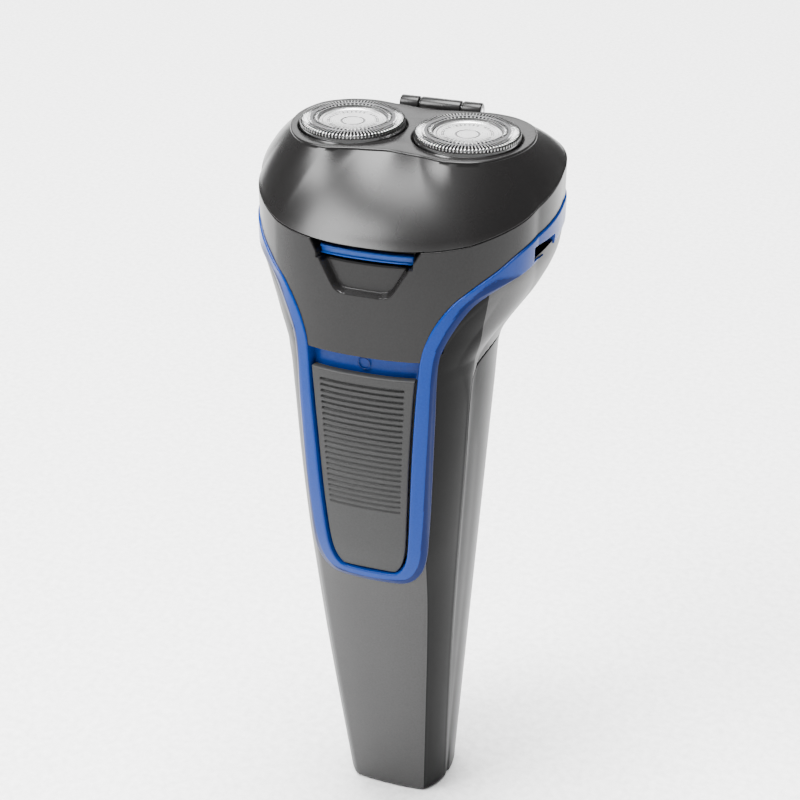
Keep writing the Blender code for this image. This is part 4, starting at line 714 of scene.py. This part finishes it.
def build_strip():
    """Strip of the trim frame over the slider, sunk below the front."""
    u_grid, v_grid = grids(shares(60, 22.0, 0.2), shares(16, 4.4, 0.2))
    height = STRIP_FOOT + STRIP_HEIGHT * v_grid
    angle = u_grid * (trim_angle(TRIM_INNER, height) + STRIP_OVERLAP)

    def sunk(a, _):
        return np.full_like(a, -STRIP_SUNK)

    return shell("trim_strip", angle, height, 0.6, 0.2, lift=sunk)


GROOVES = 23
GROOVE_PITCH = 1.335
GROOVE_TOP = 119.3
GROOVE_HALF = 8.9
GROOVE_TAPER = 0.05
GROOVE_WIDTH = 0.62
GROOVE_DEPTH = 0.5  # of the top one; the lowest is half as deep
SLIDER_PROUD = 0.2
SLIDER_FOOT = 72.85
SLIDER_GAP = 0.5
SLIDER_ROUND = 0.4


def groove_lift(angle, height):
    """Cross grooves of the slider's grip, with rounded ends."""
    x = np.abs(np.sin(np.radians(angle)) * radius_at(angle, height))
    number = np.clip(np.round((GROOVE_TOP - height) / GROOVE_PITCH), 0, GROOVES - 1)
    centre = GROOVE_TOP - number * GROOVE_PITCH
    half = GROOVE_HALF - number * GROOVE_TAPER
    past_end = np.maximum(x - (half - GROOVE_WIDTH / 2.0), 0.0)
    distance = np.hypot(height - centre, past_end)
    depth = GROOVE_DEPTH * (1.0 - 0.5 * number / (GROOVES - 1))
    return SLIDER_PROUD - depth * (1.0 - smooth_step(0.16, 0.42, distance))


def build_slider():
    """Power slider that fills the trim frame, with finer rows where its grooves are."""
    length = SLIDER_TOP - SLIDER_FOOT
    groove_low = (GROOVE_TOP - GROOVES * GROOVE_PITCH - SLIDER_FOOT) / length
    v = shares(40, length, SLIDER_ROUND, dense=((groove_low, 0.995, 360),))
    u = shares(44, 20.0, SLIDER_ROUND, dense=((0.04, 0.12, 14), (0.88, 0.96, 14)))
    u_grid, v_grid = grids(u, v)
    height = SLIDER_FOOT + length * v_grid
    gap = SLIDER_GAP / radius_at(np.zeros_like(height), height) * 180.0 / pi
    half = trim_angle(TRIM_INNER, height) - gap
    return shell("slider_shell", u_grid * half, height, 1.4, SLIDER_ROUND, lift=groove_lift)


# ---- the shaving unit
COVER_COLUMNS = 300
COVER_BOW = 0.55  # how far the cone stands out between its seam and its top
PLATE_ROUND = 0.45
PLATE_THICK = 1.6
FRONT_EDGE_DEPTH = 14.95  # the cone's flat front runs up to this distance in front
FRONT_EDGE_TURN = 41.0
SEAM_GAP = 0.2
SEAM_ROUND = 0.15
HOLE_ROUND = 0.35


def cover_outlines(columns):
    """Seam outline and top plate outline of the cone, and its columns' directions."""
    angle = np.linspace(-180.0, 180.0, columns, endpoint=False)
    seam_reach = polar_radius(front_outline(COLLAR_Z), np.abs(angle), PLATE_CENTRE_Y)
    plate_reach = curve(PLATE_OUTLINE, np.abs(angle), level_ends=True)
    way = np.stack([np.sin(np.radians(angle)), -np.cos(np.radians(angle))], axis=1)
    centre = np.array([0.0, PLATE_CENTRE_Y])
    return centre + way * seam_reach[:, None], centre + way * plate_reach[:, None], way


def bowed_middle(seam, plate, way):
    """Control points that bow the cone: its front aims at a straight edge before the plate."""
    turn = np.abs(angle_of(way[:, 0], way[:, 1], 0.0))
    edge = FRONT_EDGE_DEPTH / np.cos(np.radians(np.minimum(turn, FRONT_EDGE_TURN)))
    reach = np.maximum(np.linalg.norm(plate - (0.0, PLATE_CENTRE_Y), axis=1),
                       np.where(turn < FRONT_EDGE_TURN, edge, 0.0))
    full = np.array([0.0, PLATE_CENTRE_Y]) + way * reach[:, None]
    middle = (seam + full) / 2.0 + way * COVER_BOW
    return 2.0 * middle - (seam + plate) / 2.0


def cone_rows(seam, plate, way):
    """Points of the cone's outside: inner lip, rounded seam edge, bowed wall and rounded top edge."""
    seam_z = seam_height(seam[:, 1]) + SEAM_GAP
    top_z = PLATE_Z - PLATE_ROUND
    control = bowed_middle(seam, plate, way)
    rows = [(seam - way * 4.0, (PLATE_Z - 3.4) * 0.35 + seam_z * 0.65),
            (seam - way * 1.7, seam_z + 0.1)]
    rows += [(seam - way * inset, seam_z + rise) for inset, rise in round_edge(SEAM_ROUND, 6)]
    for t in np.linspace(SEAM_ROUND / CONE_RISE, 1.0, 26)[1:]:
        rows.append((bow(seam, control, plate, t), seam_z + (top_z - seam_z) * t))
    for fall, inset in round_edge(PLATE_ROUND, 7)[1:]:
        rows.append((plate - way * inset, np.full(len(seam), PLATE_Z - fall)))
    return np.stack([np.column_stack([xy, z]) for xy, z in rows], axis=1)


def build_head_cover():
    """Cone of the shaving unit with its top plate and the two rounded holes for the guards."""
    seam, plate, way = cover_outlines(COVER_COLUMNS)
    points = cone_rows(seam, plate, way)
    under_z = PLATE_Z - PLATE_THICK
    under = np.column_stack([plate + way * 0.4, np.full(COVER_COLUMNS, under_z)])
    lining = np.stack([points[:, 0], under], axis=1)
    parts = ([], [])
    add(parts, points.reshape(-1, 3), grid_faces(*points.shape[:2], close_columns=True))
    fill_plate(parts, points[:, -1], PLATE_Z, HOLE_RADIUS + HOLE_ROUND)
    fill_plate(parts, under, under_z, HOLE_RADIUS)
    add(parts, lining.reshape(-1, 3), grid_faces(COVER_COLUMNS, 2, close_columns=True))
    profile = [(HOLE_RADIUS + inset, PLATE_Z - fall) for inset, fall in round_edge(HOLE_ROUND, 5)]
    profile.append((HOLE_RADIUS, under_z))
    for _, centre in SPINDLES:
        add(parts, *turned(profile, centre))
    return make_mesh("head_cover_shell", *parts, 35.0)


def fill_plate(parts, outline, level, hole_radius):
    """Flat plate inside an outline, with a round hole over each spindle."""
    bm = bmesh.new()
    loops = [[(p[0], p[1], level) for p in outline]]
    turns = [TAU * k / ROUND_STEPS for k in range(ROUND_STEPS)]
    for _, (x, y) in SPINDLES:
        loops.append([(x + hole_radius * cos(turn), y + hole_radius * sin(turn), level)
                      for turn in turns])
    for loop in loops:
        verts = [bm.verts.new(p) for p in loop]
        for k, vert in enumerate(verts):
            bm.edges.new((vert, verts[(k + 1) % len(verts)]))
    bmesh.ops.triangle_fill(bm, use_beauty=True, use_dissolve=False, edges=bm.edges[:])
    bm.verts.index_update()
    add(parts, [v.co[:] for v in bm.verts], [[v.index for v in f.verts] for f in bm.faces])
    bm.free()


TEETH = 90
INNER_TEETH = 60
BAR_HALF = 0.13
INNER_BAR_HALF = 0.15
BAR_THICK = 0.34
SLIT_SHADOW_DEPTH = 0.36  # depth of the sheet under the slits, painted dark as the shadow in them
GUARD_WALL = 0.4
LAND = (8.12, 8.72)  # radii of the flat land between the two rows of slits
RIM_RADIUS = 7.32
DISC_TICKS = 35
TICK_GAP = 7  # every seventh tick is left out
TICK_RADII = (4.6, 5.4)
TICK_HALF = 0.14
TICK_RISE = 0.08


def guard_profiles():
    """Turned profiles of the land, the inner rim, the outer wall with its flange, and the sheets under the
    slits that are painted dark as their shadow.
    """
    top, outer = GUARD_TOP, GUARD_RADIUS
    shoulder = FLANGE_BASE + 0.8
    low, high = LAND
    under = top - 0.45
    land = [(high, under), (high, top), (8.45, top), (8.4, top - 0.05), (8.35, top),
            (low, top), (low, under), (high, under)]
    rim = [(RIM_RADIUS, under), (RIM_RADIUS, top - 0.02), (7.25, top + 0.02), (7.15, top),
           (7.05, top - 0.2), (7.02, top - 1.2), (RIM_RADIUS, top - 1.2), (RIM_RADIUS, under)]
    wall = [(outer - GUARD_WALL, top - 1.05), (outer - 0.04, top - 1.05), (outer, top - 1.12),
            (outer, shoulder), (FLANGE_RADIUS, shoulder), (FLANGE_RADIUS, FLANGE_BASE),
            (outer - GUARD_WALL, FLANGE_BASE), (outer - GUARD_WALL, top - 1.05)]
    shadow_sheets = [[(inner, top - SLIT_SHADOW_DEPTH), (out, top - SLIT_SHADOW_DEPTH), (out, top - 1.1)]
              for inner, out in ((RIM_RADIUS, 8.14), (8.7, outer - 0.45))]
    return [land, rim, wall, *shadow_sheets]


def build_guard(name, centre):
    """Slotted steel guard: bars that wrap over its edge, a flat land and a short inner row of slits."""
    top, outer = GUARD_TOP, GUARD_RADIUS
    parts = ([], [])
    for profile in guard_profiles():
        add(parts, *turned(profile, centre))
    path = [(8.7, top - 0.02)]
    for a in quarter(7):
        path.append((outer - 0.75 + 0.75 * sin(a), top - 0.6 * (1 - cos(a))))
    path.append((outer, top - 1.1))
    add_bars(parts, path, centre, TEETH, BAR_HALF)
    inner_path = [(7.3, top - 0.02), (7.7, top - 0.02), (8.14, top - 0.02)]
    add_bars(parts, inner_path, centre, INNER_TEETH, INNER_BAR_HALF)
    guard = make_mesh("guard_" + name, *parts, 42.0)
    finish_piece(guard, "guard_" + name, "guard_steel", "shaving_guard_" + name)
    guard.data.materials.append(steel_rings("guard_metal_" + name, centre, 0.20, 26.0, 0.42))
    give_materials(guard, "slit_painted_shadow", "land_steel")
    for face in guard.data.polygons:
        reach = (face.center.xy / MM - Vector(centre)).length
        level = face.center.z / MM
        in_slits = RIM_RADIUS + 0.01 < reach < LAND[0] or LAND[1] + 0.01 < reach < outer - 0.46
        # faces of the sheets under the slits get the dark steel: painted shadow
        if abs(level - (top - SLIT_SHADOW_DEPTH)) < 0.02 and in_slits:
            face.material_index = 1
        elif level > top - 0.1 and 8.1 < reach < 8.75:
            face.material_index = 2


def add_bars(parts, path, centre, count, half_width):
    """Radial bars that follow a path of (radius, height), rounded over their width."""
    section = ((-half_width, 1.0), (-half_width, 0.12), (-half_width * 0.6, 0.0),
               (half_width * 0.6, 0.0), (half_width, 0.12), (half_width, 1.0))
    for k in range(count):
        angle = TAU * k / count
        out = np.array([cos(angle), sin(angle), 0.0])
        over = np.array([-sin(angle), cos(angle), 0.0])
        points = []
        for r, z in path:
            middle = np.array([centre[0], centre[1], z]) + out * r
            on_top = r < path[-1][0] - 0.2
            inward = (np.array([0.0, 0.0, -1.0]) if on_top else -out) * BAR_THICK
            points += [middle + over * shift + inward * sink for shift, sink in section]
        add(parts, points, grid_faces(len(path), len(section)))


def build_disc(name, centre):
    """Dished cap in the middle of a guard, with plain turned rings in place of a mark."""
    low, high = box_mm("guard_disc_" + name)
    top = high.z
    radius = (high.x - low.x) / 2.0
    falls = [(radius, 0.6), (radius, 0.12), (radius - 0.1, 0.02), (radius - 0.25, 0.0), (6.35, 0.02),
             (6.2, 0.12), (6.0, 0.2), (2.5, 0.34), (2.45, 0.42), (2.15, 0.42), (2.1, 0.34), (0.0001, 0.34)]
    parts = ([], [])
    add(parts, *turned([(r, top - fall) for r, fall in falls], centre))
    for k in range(DISC_TICKS):
        if k % TICK_GAP:
            add_tick(parts, centre, TAU * k / DISC_TICKS, top - 0.27)
    disc = make_mesh("disc_" + name, *parts, 42.0)
    finish_piece(disc, "guard_" + name, "disc_steel", "guard_disc_" + name)
    disc.data.materials.append(steel_rings("disc_metal_" + name, centre, 0.34, 60.0, 0.86))
    give_materials(disc, "land_steel")
    for face in disc.data.polygons:
        reach = (face.center.xy / MM - Vector(centre)).length
        if 2.1 < reach < 2.5 or (4.5 < reach < 5.5 and face.center.z / MM > top - 0.235):
            face.material_index = 1


def add_tick(parts, centre, turn, level):
    """Short raised tick on the disc, as a plain ornament."""
    inner, outer = TICK_RADII
    middle = (inner + outer) / 2.0
    way = np.array([cos(turn), sin(turn)])
    over = np.array([-sin(turn), cos(turn)])
    corners = [(inner, -TICK_HALF), (outer, -TICK_HALF), (outer, TICK_HALF), (inner, TICK_HALF)]
    points = []
    for lift, shrink in ((0.0, 1.0), (TICK_RISE, 0.9)):
        for r, s in corners:
            xy = np.array(centre) + way * (middle + (r - middle) * shrink) + over * s * shrink
            points.append((xy[0], xy[1], level + lift))
    add(parts, points, [(0, 1, 5, 4), (1, 2, 6, 5), (2, 3, 7, 6), (3, 0, 4, 7), (4, 5, 6, 7)])


BUTTON_ROUND = 0.4
BUTTON_HEIGHT = 1.9
BUTTON_THICK = 1.3


def build_button():
    """Release bar with rounded edges, bowed like the front."""
    half = BUTTON_HIGH.x
    low, high = BUTTON_LOW.z, BUTTON_LOW.z + BUTTON_HEIGHT
    inset = BUTTON_ROUND * (1 - np.sin(quarter(5)))
    flat_x = np.linspace(-half + BUTTON_ROUND, half - BUTTON_ROUND, 30)
    x = np.unique(np.concatenate([flat_x, half - inset, -half + inset]))
    corner = round_edge(BUTTON_ROUND, 6)
    rows = [(BUTTON_THICK, low)]
    rows += [(back, low + up) for up, back in corner]
    rows += [(back, high - up) for up, back in reversed(corner)]
    rows += [(BUTTON_THICK, high)]
    ends = fillet(half - np.abs(x), BUTTON_ROUND)
    front = BUTTON_LOW.y + front_curve(x) + ends
    points = np.array([[(xi, y + back, z) for back, z in rows] for xi, y in zip(x, front)])
    faces = grid_faces(len(points), len(rows))
    faces.append(tuple(range(len(rows))))
    faces.append(tuple((len(points) - 1) * len(rows) + j for j in reversed(range(len(rows)))))
    return make_mesh("release_bar", points.reshape(-1, 3), faces, 50.0)


RING_WIRE = (0.13, 0.12)  # half width and half depth of the ring's section
RING_STEPS = 48
WIRE_STEPS = 8


def build_light_ring():
    """Thin ring of the charge light."""
    centre = (RING_LOW + RING_HIGH) / 2.0
    radius = (RING_HIGH.x - RING_LOW.x) / 2.0 - RING_WIRE[0]
    points = []
    for k in range(RING_STEPS):
        turn = TAU * k / RING_STEPS
        for j in range(WIRE_STEPS):
            tilt = TAU * j / WIRE_STEPS
            r = radius + RING_WIRE[0] * cos(tilt)
            y = centre.y + RING_WIRE[1] * sin(tilt)
            points.append((centre.x + r * cos(turn), y, centre.z + r * sin(turn)))
    return make_mesh("light_ring", points, grid_faces(RING_STEPS, WIRE_STEPS, True, True))


# ---- materials
class Look:
    """A material under construction."""

    def __init__(self, name, metallic=0.0):
        self.material = bpy.data.materials.new(name)
        self.material.use_nodes = True
        self.nodes = self.material.node_tree.nodes
        self.link = self.material.node_tree.links.new
        self.inputs = self.nodes["Principled BSDF"].inputs
        self.inputs["Metallic"].default_value = metallic

    def node(self, kind, inputs, **settings):
        """Add a node, with the values of its inputs and settings."""
        made = self.nodes.new("ShaderNode" + kind)
        for setting, value in settings.items():
            setattr(made, setting, value)
        for socket, value in inputs.items():
            made.inputs[socket].default_value = value
        return made

    def texture(self, kind, inputs, **settings):
        """Add a texture in the object's own coordinates."""
        place = self.node("TexCoord", {})
        made = self.node(kind, inputs, **settings)
        self.link(place.outputs["Object"], made.inputs[0])
        return made

    def noise(self, scale, detail):
        inputs = {"Scale": scale, "Detail": detail, "Roughness": 0.6}
        return self.texture("TexNoise", inputs).outputs["Fac"]

    def ramp(self, source, low, high, socket, start=0.3, end=0.7):
        """Feed an input of the shader with a value that runs between two colours."""
        made = self.node("ValToRGB", {})
        for element, place, colour in zip(made.color_ramp.elements, (start, end), (low, high)):
            element.position = place
            element.color = (*colour, 1.0)
        self.link(source, made.inputs["Fac"])
        self.link(made.outputs["Color"], self.inputs[socket])

    def bump(self, source, strength, distance):
        made = self.node("Bump", {"Strength": strength, "Distance": distance})
        self.link(source, made.inputs["Height"])
        self.link(made.outputs["Normal"], self.inputs["Normal"])


def grey(value):
    return (value, value, value)


def lacquer(name, colour, spread, roughness, specular=0.5, flake=2600.0, peel=0.00002):
    """Painted plastic: fine pigment flakes, a soft roughness drift and a trace of orange peel."""
    look = Look(name)
    low = [c * (1 - spread) for c in colour]
    high = [min(c * (1 + spread), 1.0) for c in colour]
    look.ramp(look.noise(flake, 2.0), low, high, "Base Color")
    look.ramp(look.noise(60.0, 3.0), grey(roughness * 0.9), grey(roughness * 1.12), "Roughness", 0.0, 1.0)
    look.bump(look.noise(900.0, 2.0), 0.12, peel)
    look.inputs["Specular IOR Level"].default_value = specular
    return look.material


def moulded(name, colour, roughness):
    """Plain moulded plastic: a fine spark-eroded grain and faint colour drift."""
    return lacquer(name, colour, 0.10, roughness, flake=500.0, peel=0.00004)


def metal(name, colour, roughness):
    """Plain metal with a fine grain."""
    look = Look(name, metallic=1.0)
    grain = look.noise(1400.0, 4.0)
    look.ramp(grain, [c * 0.88 for c in colour], colour, "Base Color")
    look.ramp(grain, grey(roughness * 0.8), grey(roughness * 1.3), "Roughness")
    look.bump(grain, 0.15, 0.00002)
    return look.material


def steel_rings(name, centre, roughness, rings, shade):
    """Lapped steel, with fine turned rings round a centre."""
    look = Look(name, metallic=1.0)
    shift = look.texture("VectorMath", {1: (centre[0] * MM, centre[1] * MM, 0.0)}, operation="SUBTRACT")
    flat = look.node("VectorMath", {1: (1.0, 1.0, 0.0)}, operation="MULTIPLY")
    wave = look.node("TexWave", {"Scale": rings * 12.0, "Distortion": 0.6, "Detail": 2.0},
                     wave_type="RINGS", rings_direction="SPHERICAL")
    look.link(shift.outputs["Vector"], flat.inputs[0])
    look.link(flat.outputs["Vector"], wave.inputs["Vector"])
    turned_rings = wave.outputs["Fac"]
    look.ramp(turned_rings, grey(shade * 0.72), grey(shade), "Base Color", 0.2, 0.8)
    look.ramp(turned_rings, grey(roughness * 1.25), grey(roughness * 0.8), "Roughness")
    look.bump(turned_rings, 0.25, 0.00003)
    return look.material


def board_mask(name):
    """Green solder mask in small fields, with paler lines between them."""
    look = Look(name)
    fields = {"Scale": 420.0, "Mortar Size": 0.06, "Color1": (0.012, 0.13, 0.05, 1.0),
              "Color2": (0.02, 0.17, 0.07, 1.0), "Mortar": (0.05, 0.26, 0.10, 1.0)}
    look.link(look.texture("TexBrick", fields).outputs["Color"], look.inputs["Base Color"])
    look.inputs["Roughness"].default_value = 0.35
    return look.material


MATERIALS = {
    "housing": lacquer("gunmetal_lacquer_housing", (0.025, 0.0245, 0.0245), 0.14, 0.40, 0.22),
    # near-black copy of the gunmetal for the flanks: painted shade
    "flank": lacquer("flank_painted_shade_lacquer", grey(0.003), 0.14, 0.34, 0.05),
    "rear": lacquer("gunmetal_lacquer_rear", grey(0.007), 0.14, 0.34, 0.08),
    "panel": lacquer("gunmetal_lacquer_panel", (0.010, 0.0096, 0.0096), 0.12, 0.26, 0.17),
    "cover": lacquer("gunmetal_lacquer_cover", (0.006, 0.0057, 0.0057), 0.12, 0.27, 0.24),
    "slider": lacquer("grey_lacquer_slider", grey(0.027), 0.10, 0.45, 0.13),
    "blue": lacquer("blue_lacquer", (0.0010, 0.024, 0.165), 0.08, 0.26, 0.12),
    # darker copy of the blue for the trim's outer facet: painted shade
    "blue_painted_shade": lacquer("blue_lacquer_painted_shade", (0.0003, 0.0075, 0.06), 0.08, 0.30, 0.06),
    "button": lacquer("blue_lacquer_button", (0.003, 0.042, 0.22), 0.08, 0.30, 0.2),
    "light": lacquer("light_pipe", (0.001, 0.012, 0.09), 0.05, 0.2, 0.2),
    "land_steel": metal("land_steel", (0.16, 0.16, 0.165), 0.3),
    # dark steel for the sheets under the guard's slits: painted shadow
    "slit_painted_shadow": metal("slit_painted_shadow", (0.012, 0.012, 0.013), 0.5),
    # near-black for the trim's notch and the button's slot: painted shade
    "slot_painted_shade": lacquer("black_painted_shade_slot", (0.0015, 0.0015, 0.0016), 0.12, 0.3, 0.08),
    "black_plastic": moulded("black_moulding", (0.018, 0.018, 0.019), 0.48),
    "white_plastic": moulded("acetal", (0.66, 0.65, 0.61), 0.42),
    "frame_plastic": moulded("grey_moulding", (0.42, 0.43, 0.44), 0.45),
    "knob_plastic": moulded("knob_moulding", (0.022, 0.022, 0.024), 0.42),
    "cell_wrap": lacquer("cell_wrap", (0.03, 0.26, 0.13), 0.06, 0.25),
    "contact_brass": metal("contact_brass", (0.74, 0.54, 0.25), 0.28),
    "pin_steel": metal("ground_steel", (0.62, 0.62, 0.63), 0.24),
    "spring_steel": metal("spring_steel", (0.48, 0.48, 0.49), 0.30),
    "motor_steel": metal("plated_steel", grey(0.60), 0.34),
    "cutter_steel": metal("cutter_steel", grey(0.62), 0.26),
    "board_green": board_mask("board_green"),
}


def give_materials(piece, *names):
    for name in names:
        piece.data.materials.append(MATERIALS[name])


def finish_piece(piece, body, slot, *nodes):
    """Say what a piece rides and hide the CAD nodes it replaces; slot is not used."""
    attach(piece, body)
    if nodes:
        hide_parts(*nodes)


def dress(piece, material, body, slot, *nodes):
    """Finish a piece that has one material."""
    give_materials(piece, material)
    finish_piece(piece, body, slot, *nodes)


# ---- the shaver
def build_shaver():
    finish_piece(build_housing(), "body", "dark_housing", "main_housing")
    dress(build_rear_cover(), "rear", "body", "rear_shell", "rear_cover")
    finish_piece(build_trim(), "body", "blue_trim", "trim_frame")
    dress(build_strip(), "blue", "body", "blue_trim")
    panel = with_barrels(build_panel(), (-9.0, -4.8), (4.8, 9.0))
    finish_piece(panel, "body", "front_shell", "front_panel")
    dress(build_slider(), "slider", "power_slider", "slider_grip", "power_slider")
    dress(build_button(), "button", "release_button", "blue_button", "release_button")
    dress(build_light_ring(), "light", "body", "light_ring", "charge_light_ring")
    dress(with_barrels(build_head_cover(), (-4.5, 4.5)), "cover", "head", "head_shell", "head_cover")
    for name, centre in SPINDLES:
        build_guard(name, centre)
        build_disc(name, centre)


def dress_frame():
    """Materials for the CAD nodes that stay: the pieces inside and behind."""
    slots = {s["node"]: s["material_slot"] for s in frame["record"]["subparts"]}
    for name, node in frame["nodes"].items():
        if node.hide_render:
            continue
        node.data.materials.clear()
        give_materials(node, slots[name])


# ---- stage, light and camera
def area_light(name, place, size, power):
    """White panel light that faces the middle of the shaver."""
    data = bpy.data.lights.new(name, "AREA")
    data.shape = "RECTANGLE"
    data.size, data.size_y = size
    data.energy = power
    lamp = put(name, data)
    lamp.location = place
    lamp.rotation_euler = (Vector((0.0, 0.0, 0.10)) - Vector(place)).to_track_quat("-Z", "Y").to_euler()


def build_floor():
    """Pale floor, wide enough to fill the view."""
    bm = bmesh.new()
    bmesh.ops.create_grid(bm, x_segments=1, y_segments=1, size=3.0)
    mesh = bpy.data.meshes.new("floor")
    bm.to_mesh(mesh)
    bm.free()
    floor = put("floor", mesh)
    floor.data.materials.append(moulded("pale_floor", (0.90, 0.90, 0.90), 0.6))


def build_lights():
    """Even studio light: a soft overhead sun, a key panel and a panel behind."""
    world = bpy.data.worlds.new("studio")
    world.use_nodes = True
    background = world.node_tree.nodes["Background"].inputs
    background["Color"].default_value = (1.0, 1.0, 1.0, 1.0)
    background["Strength"].default_value = 0.35
    bpy.context.scene.world = world
    data = bpy.data.lights.new("overhead", "SUN")
    data.energy = 13.0
    data.angle = radians(35.0)
    put("overhead", data).rotation_euler = (radians(-4.0), radians(-4.0), 0.0)
    area_light("key", (-0.42, -0.42, 0.80), (0.36, 0.36), 16.0)
    area_light("back", (-0.45, 0.85, 0.62), (0.9, 0.35), 4.0)


def build_camera():
    """Camera in front, a little to the right and above."""
    target = Vector((-2.05, 0.0, 99.67)) * MM
    turn, climb, distance = radians(18.92), radians(29.62), 352.58 * MM
    away = Vector((sin(turn) * cos(climb), -cos(turn) * cos(climb), sin(climb)))
    data = bpy.data.cameras.new("camera")
    data.lens = 72.0
    data.sensor_width = 36.0
    data.clip_start = 0.01
    camera = put("camera", data)
    camera.location = target + away * distance
    camera.rotation_euler = (-away).to_track_quat("-Z", "Y").to_euler()
    bpy.context.scene.camera = camera


build_shaver()
dress_frame()
build_floor()
build_lights()
build_camera()
